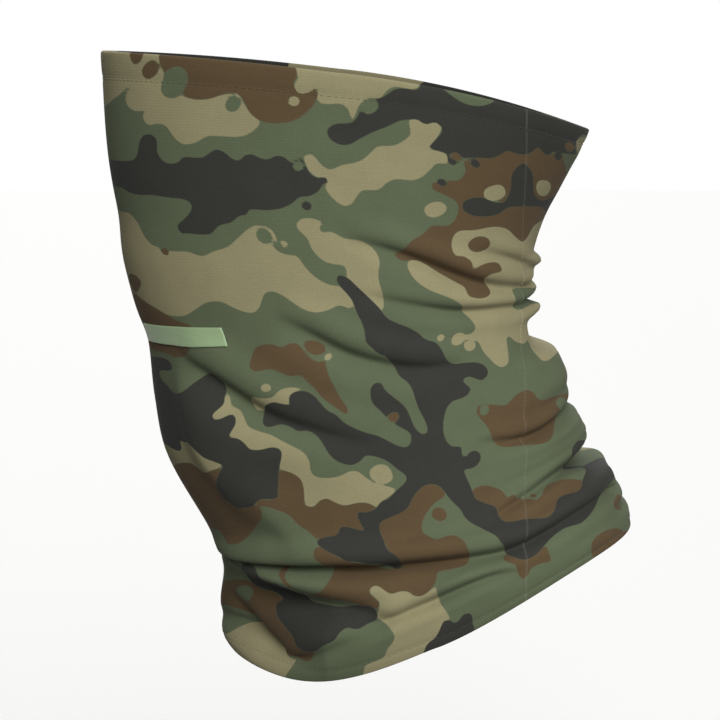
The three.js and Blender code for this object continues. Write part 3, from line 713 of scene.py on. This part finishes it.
# patches along the top edge of the wearer's right side, which show inside the opening
FAR_EDGE = [
    ("black", [(198, 293), (199, 281), (212, 276), (228, 279), (243, 274), (258, 272), (270, 276),
               (280, 279), (289, 284), (289, 293)]),
    ("tan", [(289, 293), (289, 284), (296, 278), (308, 280), (318, 274), (330, 277), (340, 282),
             (345, 293)]),
    ("black", [(345, 293), (340, 282), (352, 276), (366, 279), (380, 272), (394, 276), (404, 282),
               (408, 293)]),
]

# The print repeats upside down on the panel's other half. Between two wavy edges, green ground
# covers the repeat, and the patches listed above are printed on it the right way up.
LEFT_EDGE, RIGHT_EDGE = -106.0, 206.0
REPEAT_ROUND, REPEAT_UP = 404.0, 290.0  # a patch at (0, 0) repeats here, turned by half a turn
EDGE_POINTS = 34
PRINT_REACH = 6.0  # beyond this far from an edge, only the side of the edge matters


def wavy_edge(middle, long_wave, short_wave, shift):
    """Points from the bottom of the panel to the top that wander to each side of a line."""
    up = np.linspace(-20, FLAT_LENGTH + 20, EDGE_POINTS)
    round_ = middle + 6 * np.sin(up / long_wave + shift) + 4 * np.sin(up / short_wave)
    return list(zip(round_, up))


def smooth_outline(points):
    """A smooth closed curve through an outline's points, three steps between each two."""
    corners = np.array(points, float)
    following = np.roll(corners, -1, 0)
    step = np.sqrt(np.linalg.norm(following - corners, axis=1))[:, None]
    before = np.roll(step, 1, 0)
    slope = (following - corners) / step
    tangent = (np.roll(slope, 1, 0) * step + slope * before) / (step + before)
    t = np.arange(3)[:, None, None] / 3
    curve = (2 * t**3 - 3 * t**2 + 1) * corners + (t**3 - 2 * t**2 + t) * step * tangent
    curve += (3 * t**2 - 2 * t**3) * following + (t**3 - t**2) * step * np.roll(tangent, -1, 0)
    return curve.swapaxes(0, 1).reshape(-1, 2)


def lay_ink(inks, colour, points):
    """Prints one patch. Each ink's table says how far inside that ink's area a place is."""
    outline = smooth_outline(points)
    spacing = TABLE_ROUND[1]
    first = math.floor((outline[:, 0].min() - PRINT_REACH) / spacing)
    last = math.ceil((outline[:, 0].max() + PRINT_REACH) / spacing)
    columns = np.arange(first, last + 1)
    low, high = outline[:, 1].min() - PRINT_REACH, outline[:, 1].max() + PRINT_REACH
    rows = np.flatnonzero((TABLE_UP > low) & (TABLE_UP < high))
    round_, up = np.meshgrid(columns * spacing, TABLE_UP[rows])
    depth = np.full(round_.shape, PRINT_REACH)
    inside = np.zeros(round_.shape, bool)
    for start, end in zip(outline, np.roll(outline, -1, 0)):
        along = end - start
        right, above = round_ - start[0], up - start[1]
        t = np.clip((right * along[0] + above * along[1]) / (along @ along), 0, 1)
        depth = np.minimum(depth, np.hypot(right - t * along[0], above - t * along[1]))
        crossed = (start[1] > up) != (end[1] > up)
        inside ^= crossed & (right < along[0] * above / (along[1] or 1))
    depth = np.where(inside, depth, -depth)
    place = np.ix_(rows, columns % TABLE_COLUMNS)
    for ink, table in inks.items():
        if ink == colour:
            table[place] = np.maximum(table[place], depth)
        else:
            table[place] = np.minimum(table[place], -depth)


patches = {"tan": TAN, "brown": BROWN, "black": BLACK}
layers = [(ink, points) for ink in patches for points in patches[ink]] + SPOTS
inks = {ink: np.full(flat_up.shape, -PRINT_REACH) for ink in patches}
for ink, points in layers:
    lay_ink(inks, ink, [(REPEAT_ROUND - round_, REPEAT_UP - up) for round_, up in points])
for ink, points in FAR_EDGE:
    lay_ink(inks, ink, points)
ground = wavy_edge(LEFT_EDGE, 11, 4.7, 0) + wavy_edge(RIGHT_EDGE, 13, 5.3, 1)[::-1]
lay_ink(inks, "green", ground)
for ink, points in layers:
    lay_ink(inks, ink, points)
for table in inks.values():
    table[:, -1] = table[:, 0]

# --- The knit tube ------------------------------------------------------------------------------
# One layer of stretch polyester interlock, printed on its outer face. The inner face is drawn
# at about half brightness: the duller print that shows through, darkened further as painted shade
# for the inside of the tube. Each end turns in round the edge to meet its hem.

NEAR_START, NEAR_END = -45.0, 200.0  # the wearer's left side, where the columns are closest
NEAR_COLUMNS, FAR_COLUMNS = 186, 114
COLUMNS = NEAR_COLUMNS + FAR_COLUMNS  # round the outer face
STRIDE = 3  # outer columns for each column of the inner face
ROWS = 228  # of each face
GAP = 0.4  # between the tube and what is folded or sewn inside it
FOLD_RADIUS = KNIT + GAP / 2  # of the rounded edge, over both layers
EDGE_STEPS = 6
WALE = 1.1  # columns of knit loops; really 0.5 mm, drawn coarser so that they show
COURSE = 1.0  # rows of knit loops, drawn coarser in the same way
FUZZ = 1.11  # the loops' uneven surface, drawn coarser in the same way
BLOTCH = 14.3  # across the faint patches where the cloth took more of the ink or less

INK_BLEED = 0.22  # to each side of an outline
SEAM_LINE = 0.45  # half the width of the paler line drawn along the seam
SEAM_PALENESS = 0.07
SEAM_PALE_COLOUR = "c9c8b8"  # the paler colour drawn along the seam

GREEN_INK, TAN_INK, BROWN_INK, BLACK_INK = "5d664e", "938d6c", "5c4c36", "383834"


def mesh_object(name, points, faces, materials):
    """A new object from points in metres. Faces that enclose a negative volume are turned round."""
    mesh = bpy.data.meshes.new(name)
    mesh.from_pydata(np.asarray(points).tolist(), [], faces)
    mesh.calc_loop_triangles()
    corners = np.empty(3 * len(mesh.loop_triangles), int)
    mesh.loop_triangles.foreach_get("vertices", corners)
    first, second, third = np.asarray(points)[corners.reshape(-1, 3)].swapaxes(0, 1)
    if (first * np.cross(second, third)).sum() < 0:
        mesh.flip_normals()
    mesh.polygons.foreach_set("use_smooth", [True] * len(mesh.polygons))
    for material in materials:
        mesh.materials.append(material)
    made = bpy.data.objects.new(name, mesh)
    bpy.context.collection.objects.link(made)
    return made


def rounded_edge(radius, edge, start, stop):
    """Places (up, out) on the arc where the cloth turns over its edge, from outside to inside."""
    toward = 1 if edge > 0 else -1
    places = []
    for angle in np.radians(np.linspace(start, stop, EDGE_STEPS)):
        beyond = radius * math.sin(angle) - FOLD_RADIUS
        places.append((edge + toward * beyond, radius * math.cos(angle) - FOLD_RADIUS))
    return places


def carry_print(piece, round_, up):
    """Stores on each vertex how deep it lies inside each ink, in millimetres."""
    shift = look_up(print_shift, round_, up)
    for ink, table in inks.items():
        layer = piece.data.attributes.new(ink, "FLOAT", "POINT")
        layer.data.foreach_set("value", look_up(table, round_, up - shift).astype(np.float32))


def lay_flat(piece, corner_round, corner_up):
    """Gives the mesh a UV map that puts each corner where it lies on the flat cloth, in metres."""
    layer = piece.data.uv_layers.new(name="flat_cloth")
    flat = np.stack([corner_round, corner_up], -1) * MM
    layer.data.foreach_set("uv", flat.astype(np.float32).ravel())


def mixed_inks(tree):
    """The print's colour at each place, from the depths that the mesh carries. Where two inks meet
    they bleed into each other over about half a millimetre."""
    colour = linear(GREEN_INK)
    for ink, shade in (("tan", TAN_INK), ("brown", BROWN_INK), ("black", BLACK_INK)):
        reach = add_node(tree, "ShaderNodeAttribute", attribute_name=ink)
        share = add_node(
            tree, "ShaderNodeMapRange",
            {"Value": reach.outputs["Fac"], "From Min": -INK_BLEED, "From Max": INK_BLEED},
        )
        mix = add_node(
            tree, "ShaderNodeMix", {0: share.outputs[0], 6: colour, 7: linear(shade)},
            data_type="RGBA",
        )
        colour = mix.outputs[2]
    return colour


def printed_knit(name, shade_and_dullness, depth):
    """Sublimation-printed polyester interlock: matt, faintly ribbed by its columns of loops, with
    a soft bloom where light grazes it. Along the seam it is drawn paler. Below 1,
    shade_and_dullness
    darkens the whole print: painted shade on the hems, and painted shade with a duller print on
    the wrong side."""
    material, tree, output = new_material(name)
    colour = mixed_inks(tree)
    cloth = add_node(tree, "ShaderNodeUVMap", uv_map="flat_cloth")
    place = add_node(tree, "ShaderNodeSeparateXYZ", {0: cloth.outputs[0]})
    from_seam = add_node(
        tree, "ShaderNodeMath", {0: place.outputs["X"], 1: 0.0, 2: SEAM_LINE * MM},
        operation="COMPARE",
    )
    thinned = add_node(
        tree, "ShaderNodeMath", {0: from_seam.outputs[0], 1: SEAM_PALENESS}, operation="MULTIPLY"
    )
    colour = add_node(
        tree, "ShaderNodeMix", {0: thinned.outputs[0], 6: colour, 7: linear(SEAM_PALE_COLOUR)},
        data_type="RGBA",
    ).outputs[2]
    blotches = add_node(
        tree, "ShaderNodeTexNoise",
        {"Vector": cloth.outputs[0], "Scale": 1 / (BLOTCH * MM), "Detail": 3.0},
    )
    fuzz = add_node(
        tree, "ShaderNodeTexNoise",
        {"Vector": cloth.outputs[0], "Scale": 1 / (FUZZ * MM), "Detail": 2.0},
    )
    uneven = add_node(
        tree, "ShaderNodeMath", {0: blotches.outputs[0], 1: fuzz.outputs[0]}, operation="ADD"
    )
    value = add_node(
        tree, "ShaderNodeMapRange",
        {"Value": uneven.outputs[0], "From Min": 0.5, "From Max": 1.5, "To Min": 0.9 * shade_and_dullness,
         "To Max": 1.1 * shade_and_dullness},
    )
    dyed = add_node(
        tree, "ShaderNodeHueSaturation", {"Color": colour, "Value": value.outputs[0]}
    )
    wales, courses = (
        add_node(
            tree, "ShaderNodeTexWave",
            {"Vector": cloth.outputs[0], "Scale": math.pi / (10 * spacing * MM),
             "Distortion": 0.4, "Detail": 1.0},
            wave_type="BANDS", bands_direction=way,
        )
        for spacing, way in ((WALE, "X"), (COURSE, "Y"))
    )
    lower_wales = add_node(
        tree, "ShaderNodeMath", {0: wales.outputs["Fac"], 1: 0.6}, operation="MULTIPLY"
    )
    loops = add_node(
        tree, "ShaderNodeMath", {0: courses.outputs["Fac"], 1: lower_wales.outputs[0]},
        operation="ADD",
    )
    height = add_node(
        tree, "ShaderNodeMath", {0: loops.outputs[0], 1: fuzz.outputs[0]}, operation="ADD"
    )
    bump = add_node(
        tree, "ShaderNodeBump",
        {"Height": height.outputs[0], "Strength": depth, "Distance": 0.00008},
    )
    surface = add_node(
        tree, "ShaderNodeBsdfPrincipled",
        {"Base Color": dyed.outputs[0], "Roughness": 0.9, "Normal": bump.outputs[0],
         "Specular IOR Level": 0.12, "Sheen Weight": 0.03, "Sheen Roughness": 0.5},
    )
    tree.links.new(surface.outputs[0], output.inputs["Surface"])
    return material


print_shift = fold_down * calm
near_columns = np.linspace(NEAR_START, NEAR_END, NEAR_COLUMNS + 1)
far_columns = np.linspace(NEAR_END, NEAR_START + FLAT_GIRTH, FAR_COLUMNS + 1)
column_edges = np.concatenate([near_columns, far_columns[1:]])
column_round = column_edges[:-1]
outer_profile = rounded_edge(FOLD_RADIUS, 0, 90, 0)
outer_profile += [(up, 0) for up in np.linspace(FOLD_RADIUS, FLAT_LENGTH - FOLD_RADIUS, ROWS)[1:-1]]
outer_profile += rounded_edge(FOLD_RADIUS, FLAT_LENGTH, 0, 90)
inner_profile = rounded_edge(GAP / 2, FLAT_LENGTH, 90, 0)
inner_profile += [
    (up, -KNIT) for up in np.linspace(FLAT_LENGTH - FOLD_RADIUS, FOLD_RADIUS, ROWS)[1:-1]
]
inner_profile += rounded_edge(GAP / 2, 0, 0, 90)

points, vertex_round, vertex_up = [], [], []
for profile, stride in ((outer_profile, 1), (inner_profile, STRIDE)):
    for up, out in profile:
        round_ = column_round[::stride]
        points.append(worn(round_, np.full(round_.shape, up), np.full(round_.shape, out)))
        vertex_round.append(round_)
        vertex_up.append(np.full(round_.shape, up))
points = np.concatenate(points)
vertex_round = np.concatenate(vertex_round)
vertex_up = np.concatenate(vertex_up)

inner_start = len(outer_profile) * COLUMNS
faces, unrolled = [], []


def on_face(row, column, stride):
    """A vertex of the outer face, or of the inner one, which has fewer columns."""
    if stride == 1:
        return row * COLUMNS + column % COLUMNS
    return inner_start + row * (COLUMNS // STRIDE) + (column % COLUMNS) // STRIDE


def join(corners):
    """A face through corners given as (row, column, stride)."""
    faces.append([on_face(*corner) for corner in corners])
    unrolled.extend(column for _, column, _ in corners)


for rows, stride in ((len(outer_profile), 1), (len(inner_profile), STRIDE)):
    for row in range(rows - 1):
        for column in range(0, COLUMNS, stride):
            further = column + stride
            join([(row, column, stride), (row + 1, column, stride),
                  (row + 1, further, stride), (row, further, stride)])
    if stride == 1:
        outer_faces = len(faces)
top, bottom = len(outer_profile) - 1, len(inner_profile) - 1
for column in range(0, COLUMNS, STRIDE):
    edge = range(column, column + STRIDE + 1)
    further = column + STRIDE
    join([(0, column, STRIDE), (0, further, STRIDE)] + [(top, c, 1) for c in reversed(edge)])
    join([(bottom, further, STRIDE), (bottom, column, STRIDE)] + [(0, c, 1) for c in edge])

outer_knit = printed_knit("sublimation_printed_interlock", 1.0, 0.30)
# The wrong side's 0.55 is a duller print that shows through, plus painted shade for the inside of
# the tube.
dull_shaded_inner_knit = printed_knit("interlock_wrong_side_painted_shade", 0.55, 0.40)
tube = mesh_object("knit_tube_cloth", points, faces, [outer_knit, dull_shaded_inner_knit])
tube.data.polygons.foreach_set(
    "material_index", [0] * outer_faces + [1] * (len(faces) - outer_faces)
)
carry_print(tube, vertex_round, vertex_up)
corner_vertices = np.concatenate([np.array(face) for face in faces])
lay_flat(tube, column_edges[np.array(unrolled)], vertex_up[corner_vertices])
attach(tube, "root")
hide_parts("knit_tube")

# --- The hems -----------------------------------------------------------------------------------
# Each end of the cloth is turned in once, 12 mm deep, so the printed face shows inside the
# opening. The tube and the hem are one cloth, which folds over the rounded edge between them.

HEM_DEPTH = 12.0
HEM_ROWS = 10
INSIDE = -KNIT - GAP  # how far out the layers inside the tube start
# The turned-in layers show the printed face, drawn at 0.66 brightness: painted shade for the inside
# of the opening.
shaded_turned_knit = printed_knit("interlock_turned_in_painted_shade", 0.66, 0.30)


def swept(name, sections, closed, materials):
    """A closed mesh through like sections, each a loop of points, joined in a ring or capped."""
    sections = np.asarray(sections)
    count, around = sections.shape[:2]
    faces = []
    for i in range(count if closed else count - 1):
        here, there = i * around, (i + 1) % count * around
        for j in range(around):
            following = (j + 1) % around
            faces.append([here + j, there + j, there + following, here + following])
    if not closed:
        faces.append(list(range(around)))
        faces.append([(count - 1) * around + j for j in reversed(range(around))])
    return mesh_object(name, sections.reshape(-1, 3), faces, materials)


def lay_swept_flat(piece, round_, up):
    """Lays a swept mesh flat by its vertices' places. A face across the back seam stays whole."""
    corners = [loop.vertex_index for loop in piece.data.loops]
    starts = [face.loop_start for face in piece.data.polygons]
    counts = [face.loop_total for face in piece.data.polygons]
    corner_round = round_.ravel()[corners]
    furthest = np.repeat(np.maximum.reduceat(corner_round, starts), counts)
    past_seam = furthest - corner_round > FLAT_GIRTH / 2
    corner_round = np.where(past_seam, corner_round + FLAT_GIRTH, corner_round)
    lay_flat(piece, corner_round, up.ravel()[corners])


def turned_hem(name, edge):
    """The turned-in layer: round the edge, down behind the tube, and back from its cut edge."""
    inward = -1 if edge > 0 else 1
    start, stop = edge + inward * FOLD_RADIUS, edge + inward * HEM_DEPTH
    profile = rounded_edge(FOLD_RADIUS, edge, 90, 180)
    profile += [(up, INSIDE - KNIT) for up in np.linspace(start, stop, HEM_ROWS)[1:]]
    profile += [(up, INSIDE) for up in np.linspace(stop, start, HEM_ROWS)[:-1]]
    profile += rounded_edge(GAP / 2, edge, 180, 90)
    round_, up, out = np.broadcast_arrays(column_round[:, None], *np.transpose(profile))
    hem = swept(name, worn(round_, up, out), True, [shaded_turned_knit])
    carry_print(hem, round_.ravel(), up.ravel())
    lay_swept_flat(hem, round_, up)
    return hem


hems = {
    "bottom_hem": turned_hem("bottom_hem_turned_in", 0.0),
    "top_hem": turned_hem("top_hem_turned_in", FLAT_LENGTH),
}
for node, hem in hems.items():
    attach(hem, "root")
    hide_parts(node)

# --- The seam allowance -------------------------------------------------------------------------
# The panel's two side edges, laid together and sewn, then pressed to the wearer's left inside the
# tube. Two layers of the knit, with their reverse faces outwards and a cut end, drawn like the
# inner face: a duller print with painted shade.

ALLOWANCE_ENDS = 13.0  # it stops this far from each edge of the tube, clear of the hems
ALLOWANCE_SECTIONS = 150

# round from the seam, and further in: both layers, with a nick where their cut edges meet
ALLOWANCE_OUTLINE = [
    (0.2, 0.0), (2.2, 0.0), (4.2, 0.0), (5.8, 0.0), (6.0, 0.2), (6.0, 0.6), (5.7, 0.8), (6.0, 1.0),
    (6.0, 1.4), (5.8, 1.6), (4.2, 1.6), (2.2, 1.6), (0.6, 1.6), (0.0, 1.1), (0.0, 0.4),
]

along = np.linspace(ALLOWANCE_ENDS, FLAT_LENGTH - ALLOWANCE_ENDS, ALLOWANCE_SECTIONS)
from_seam, further_in = np.transpose(ALLOWANCE_OUTLINE)
round_, up, out = np.broadcast_arrays(from_seam, along[:, None], INSIDE - further_in)
allowance = swept("seam_allowance_layers", worn(round_, up, out), False, [dull_shaded_inner_knit])
carry_print(allowance, round_.ravel(), up.ravel())
lay_swept_flat(allowance, round_, up)
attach(allowance, "root")
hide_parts("seam_allowance")

# --- The stitching ------------------------------------------------------------------------------
# Spun polyester thread, sewn before the tube was printed, so it is the print's own colours. Each
# hem has one row of stitches about 9 mm in, the back seam has a row down its middle, and an
# overlock wraps the allowance inside.

# stitch sizes, in millimetres; a slant is in radians
HEM_SIZES = {"Pitch": 3.0, "Length": 2.3, "Rise": 0.3, "Thread Radius": 0.22, "Slant": 0.0}
SEAM_SIZES = {"Pitch": 1.8, "Length": 1.6, "Rise": 0.3, "Thread Radius": 0.22, "Slant": 0.0}
OVERLOCK_SIZES = {"Pitch": 2.0, "Length": 2.1, "Rise": 6.2, "Thread Radius": 0.18, "Slant": 0.12}
LOOP_CORNER = 0.9  # radius where an overlock loop turns
SINK = 1.4  # how far a stitch's ends go into the cloth, in thread radii
WOBBLE = 0.06  # how far a stitch may be turned, in radians
STITCH_LIFT = 0.1  # how far above the cloth a stitch starts
HEM_LINE = HEM_STITCH + 0.3  # just past the deepest part of the tuck
SEAM_ENDS = 10.6
OVERLOCK_ENDS = ALLOWANCE_ENDS + 1
OVERLOCK_MIDDLE = 4.1  # round from the seam
HEM_PLACES, SEAM_PLACES, OVERLOCK_PLACES = 500, 270, 260  # points along each row
TWIST = 0.45  # from ridge to ridge of the thread's twist


def spun_thread(name, lift):
    """Spun polyester thread: matt, with a fine twist that catches the light in slanting ridges. It
    was sewn before printing, so each stitch has taken the ink of the cloth round it."""
    material, tree, output = new_material(name)
    place = add_node(tree, "ShaderNodeTexCoord")
    twist = add_node(
        tree, "ShaderNodeTexWave",
        {"Vector": place.outputs["Object"], "Scale": math.pi / (10 * TWIST * MM),
         "Distortion": 1.5},
        bands_direction="DIAGONAL",
    )
    tint = add_node(
        tree, "ShaderNodeMapRange",
        {"Value": twist.outputs["Fac"], "To Min": 0.9 * lift, "To Max": 1.1 * lift},
    )
    dyed = add_node(
        tree, "ShaderNodeHueSaturation", {"Color": mixed_inks(tree), "Value": tint.outputs[0]}
    )
    bump = add_node(
        tree, "ShaderNodeBump",
        {"Height": twist.outputs["Fac"], "Strength": 0.4, "Distance": 0.0001},
    )
    surface = add_node(
        tree, "ShaderNodeBsdfPrincipled",
        {"Base Color": dyed.outputs[0], "Roughness": 0.7, "Normal": bump.outputs[0],
         "Specular IOR Level": 0.3, "Sheen Weight": 0.1},
    )
    tree.links.new(surface.outputs[0], output.inputs["Surface"])
    return material


def sewing_tree(name, wrapped):
    """Geometry Nodes that set stitches along a path: single stitches that rise from the cloth and
    dive back in, or wrapped loops that go right round an edge."""
    tree = bpy.data.node_groups.new(name, "GeometryNodeTree")
    tree.interface.new_socket("Path", in_out="INPUT", socket_type="NodeSocketGeometry")
    for label in ("Pitch", "Length", "Rise", "Thread Radius", "Slant"):
        tree.interface.new_socket(label, in_out="INPUT", socket_type="NodeSocketFloat")
    tree.interface.new_socket("Thread", in_out="INPUT", socket_type="NodeSocketMaterial")
    tree.interface.new_socket("Stitches", in_out="OUTPUT", socket_type="NodeSocketGeometry")
    given = add_node(tree, "NodeGroupInput").outputs
    path = add_node(tree, "GeometryNodeMeshToCurve", {"Mesh": given["Path"]})
    spaced = add_node(
        tree, "GeometryNodeResampleCurve",
        {"Curve": path.outputs[0], "Length": given["Pitch"]}, mode="LENGTH",
    )
    if wrapped:
        loop = add_node(
            tree, "GeometryNodeCurvePrimitiveQuadrilateral",
            {"Width": given["Length"], "Height": given["Rise"]}, mode="RECTANGLE",
        )
        rounded = add_node(
            tree, "GeometryNodeFilletCurve",
            {"Curve": loop.outputs[0], "Radius": LOOP_CORNER * MM, "Count": 2}, mode="POLY",
        )
        thread_path = add_node(
            tree, "GeometryNodeTransform",
            {"Geometry": rounded.outputs[0], "Rotation": (0.0, math.pi / 2, 0.0)},
        )
    else:
        half_length = add_node(
            tree, "ShaderNodeMath", {0: given["Length"], 1: 0.5}, operation="MULTIPLY"
        )
        behind = add_node(
            tree, "ShaderNodeMath", {0: given["Length"], 1: -0.5}, operation="MULTIPLY"
        )
        sunk = add_node(
            tree, "ShaderNodeMath", {0: given["Thread Radius"], 1: -SINK}, operation="MULTIPLY"
        )
        start = add_node(
            tree, "ShaderNodeCombineXYZ", {"X": behind.outputs[0], "Z": sunk.outputs[0]}
        )
        middle = add_node(tree, "ShaderNodeCombineXYZ", {"Z": given["Rise"]})
        end = add_node(
            tree, "ShaderNodeCombineXYZ", {"X": half_length.outputs[0], "Z": sunk.outputs[0]}
        )
        thread_path = add_node(
            tree, "GeometryNodeCurveQuadraticBezier",
            {"Resolution": 6, "Start": start.outputs[0], "Middle": middle.outputs[0],
             "End": end.outputs[0]},
        )
    section = add_node(
        tree, "GeometryNodeCurvePrimitiveCircle",
        {"Resolution": 5, "Radius": given["Thread Radius"]}, mode="RADIUS",
    )
    stitch = add_node(
        tree, "GeometryNodeCurveToMesh",
        {"Curve": thread_path.outputs[0], "Profile Curve": section.outputs[0], "Fill Caps": True},
    )
    outward_way = add_node(
        tree, "GeometryNodeInputNamedAttribute", {"Name": "outward"}, data_type="FLOAT_VECTOR"
    )
    along_way = add_node(tree, "GeometryNodeInputTangent")
    facing = add_node(
        tree, "FunctionNodeAxesToRotation",
        {"Primary Axis": outward_way.outputs[0], "Secondary Axis": along_way.outputs[0]},
        primary_axis="Z", secondary_axis="X",
    )
    wobble = add_node(
        tree, "FunctionNodeRandomValue", {2: -WOBBLE, 3: WOBBLE, "Seed": 7}, data_type="FLOAT"
    )
    turned = add_node(
        tree, "ShaderNodeMath", {0: wobble.outputs[1], 1: given["Slant"]}, operation="ADD"
    )
    slant = add_node(tree, "ShaderNodeCombineXYZ", {"Z": turned.outputs[0]})
    slanted = add_node(
        tree, "FunctionNodeRotateRotation",
        {"Rotation": facing.outputs[0], "Rotate By": slant.outputs[0]}, rotation_space="LOCAL",
    )
    placed = add_node(
        tree, "GeometryNodeInstanceOnPoints",
        {"Points": spaced.outputs[0], "Instance": stitch.outputs[0],
         "Rotation": slanted.outputs[0]},
    )
    real = add_node(tree, "GeometryNodeRealizeInstances", {"Geometry": placed.outputs[0]})
    finish = add_node(
        tree, "GeometryNodeSetMaterial", {"Geometry": real.outputs[0], "Material": given["Thread"]}
    )
    add_node(tree, "NodeGroupOutput", {"Stitches": finish.outputs[0]})
    return tree


def sewn(name, tree, places, closed, sizes, thread):
    """Stitches along places (round, up, out) on the cloth, made by the tree as a plain mesh."""
    round_, up, out = np.broadcast_arrays(*places)
    path = worn(round_, up, out)
    raised = worn(round_, up, out + 1)
    mesh = bpy.data.meshes.new(name + "_path")
    edges = [(i, i + 1) for i in range(len(path) - 1)] + ([(len(path) - 1, 0)] if closed else [])
    mesh.from_pydata(path.tolist(), edges, [])
    outward_layer = mesh.attributes.new("outward", "FLOAT_VECTOR", "POINT")
    outward_layer.data.foreach_set("vector", ((raised - path) / MM).astype(np.float32).ravel())
    source = bpy.data.objects.new(name + "_path", mesh)
    bpy.context.collection.objects.link(source)
    carry_print(source, round_, up)
    modifier = source.modifiers.new("sewing", "NODES")
    modifier.node_group = tree
    for item in tree.interface.items_tree:
        if item.in_out == "INPUT" and item.name in sizes:
            modifier[item.identifier] = sizes[item.name] * (1 if item.name == "Slant" else MM)
        if item.in_out == "INPUT" and item.name == "Thread":
            modifier[item.identifier] = thread
    evaluated = source.evaluated_get(bpy.context.evaluated_depsgraph_get())
    made = bpy.data.meshes.new_from_object(evaluated)
    made.name = name
    source.modifiers.remove(modifier)
    bpy.data.objects.remove(source)
    made.polygons.foreach_set("use_smooth", [True] * len(made.polygons))
    piece = bpy.data.objects.new(name, made)
    bpy.context.collection.objects.link(piece)
    return piece


single_stitches = sewing_tree("single_stitches", False)
wrapping_stitches = sewing_tree("wrapping_stitches", True)
hem_thread = spun_thread("printed_spun_polyester", 0.96)
# The seam's thread is drawn lighter than the hems' thread, which makes the paler line along the
# seam.
seam_thread = spun_thread("paler_spun_polyester", 1.08)
ring_round = np.linspace(0, FLAT_GIRTH, HEM_PLACES + 1)[:-1]
seam_up = np.linspace(SEAM_ENDS, FLAT_LENGTH - SEAM_ENDS, SEAM_PLACES)
overlock_up = np.linspace(OVERLOCK_ENDS, FLAT_LENGTH - OVERLOCK_ENDS, OVERLOCK_PLACES)

stitching = {}
hem_lines = {"bottom_hem_stitching": HEM_LINE, "top_hem_stitching": FLAT_LENGTH - HEM_LINE}
for node, line in hem_lines.items():
    stitching[node] = sewn(
        node + "_thread", single_stitches, (ring_round, line, STITCH_LIFT), True, HEM_SIZES,
        hem_thread,
    )
stitching["seam_stitching"] = sewn(
    "seam_stitching_thread", single_stitches, (0.0, seam_up, STITCH_LIFT), False, SEAM_SIZES,
    seam_thread,
)
stitching["overlock_thread"] = sewn(
    "overlock_wrapping_thread", wrapping_stitches,
    (OVERLOCK_MIDDLE, overlock_up, INSIDE - KNIT), False, OVERLOCK_SIZES, hem_thread,
)
for node, thread in stitching.items():
    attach(thread, "root")
    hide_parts(node)

# --- The label ----------------------------------------------------------------------------------
# A small woven satin label in pale green, left blank, heat-bonded to the wearer's left side near
# the front of the face. Its edges are sealed and slightly rounded.

LABEL_ROUND = (140.0, 198.0)
LABEL_UP = (181.2, 189.4)
LABEL_SLANT = 4.0  # how far the rear end leans towards the front at its top
LABEL_TILT = 1.8  # how much higher the front end is
LABEL_BACK, LABEL_FACE = 0.4, 0.8  # how far its two faces stand out from the knit
LABEL_BEVEL, LABEL_SIDE = 0.75, 0.55  # and its sealed edge, where it starts to round and ends
LABEL_CORNER = 0.12
LABEL_ROWS = 15
LABEL_SECTIONS = 48
RIB = 0.9  # weft ribs; really 0.25 mm, drawn coarser so that they show
MOTTLE = 2.0  # across the faint unevenness of the satin


def woven_satin(name, shade):
    """Woven satin: close weft ribs along the label, faintly uneven, with a soft sheen."""
    material, tree, output = new_material(name)
    cloth = add_node(tree, "ShaderNodeUVMap", uv_map="flat_cloth")
    ribs = add_node(
        tree, "ShaderNodeTexWave",
        {"Vector": cloth.outputs[0], "Scale": math.pi / (10 * RIB * MM), "Distortion": 0.3},
        bands_direction="Y",
    )
    mottle = add_node(
        tree, "ShaderNodeTexNoise",
        {"Vector": cloth.outputs[0], "Scale": 1 / (MOTTLE * MM), "Detail": 2.0},
    )
    mixed = add_node(
        tree, "ShaderNodeMath", {0: ribs.outputs["Fac"], 1: mottle.outputs[0]}, operation="ADD"
    )
    tint = add_node(
        tree, "ShaderNodeMapRange",
        {"Value": mixed.outputs[0], "From Max": 2.0, "To Min": 0.92, "To Max": 1.06},
    )
    dyed = add_node(
        tree, "ShaderNodeHueSaturation", {"Color": linear(shade), "Value": tint.outputs[0]}
    )
    bump = add_node(
        tree, "ShaderNodeBump", {"Height": mixed.outputs[0], "Strength": 0.4, "Distance": 0.0001}
    )
    surface = add_node(
        tree, "ShaderNodeBsdfPrincipled",
        {"Base Color": dyed.outputs[0], "Roughness": 0.5, "Normal": bump.outputs[0],
         "Specular IOR Level": 0.4, "Sheen Weight": 0.1},
    )
    tree.links.new(surface.outputs[0], output.inputs["Surface"])
    return material


low, high = LABEL_UP
rows = np.linspace(low, high, LABEL_ROWS)
profile = [(low, LABEL_SIDE), (low + LABEL_CORNER, LABEL_BEVEL)]
profile += [(row, LABEL_FACE) for row in rows[1:-1]]
profile += [(high - LABEL_CORNER, LABEL_BEVEL), (high, LABEL_SIDE), (high, LABEL_BACK)]
profile += [(row, LABEL_BACK) for row in rows[-2:0:-1]] + [(low, LABEL_BACK)]
row, out = np.transpose(profile)
rear_to_front = np.linspace(0, 1, LABEL_SECTIONS)[:, None]
rear = LABEL_ROUND[0] + LABEL_SLANT * (row - low) / (high - low)
round_ = rear + (LABEL_ROUND[1] - rear) * rear_to_front
up = row + LABEL_TILT * rear_to_front
out = np.broadcast_to(out, round_.shape)
satin = woven_satin("woven_satin_label", "97af84")
label = swept("blank_woven_label", worn(round_, up, out), False, [satin])
lay_swept_flat(label, round_, up)
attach(label, "root")
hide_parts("label")
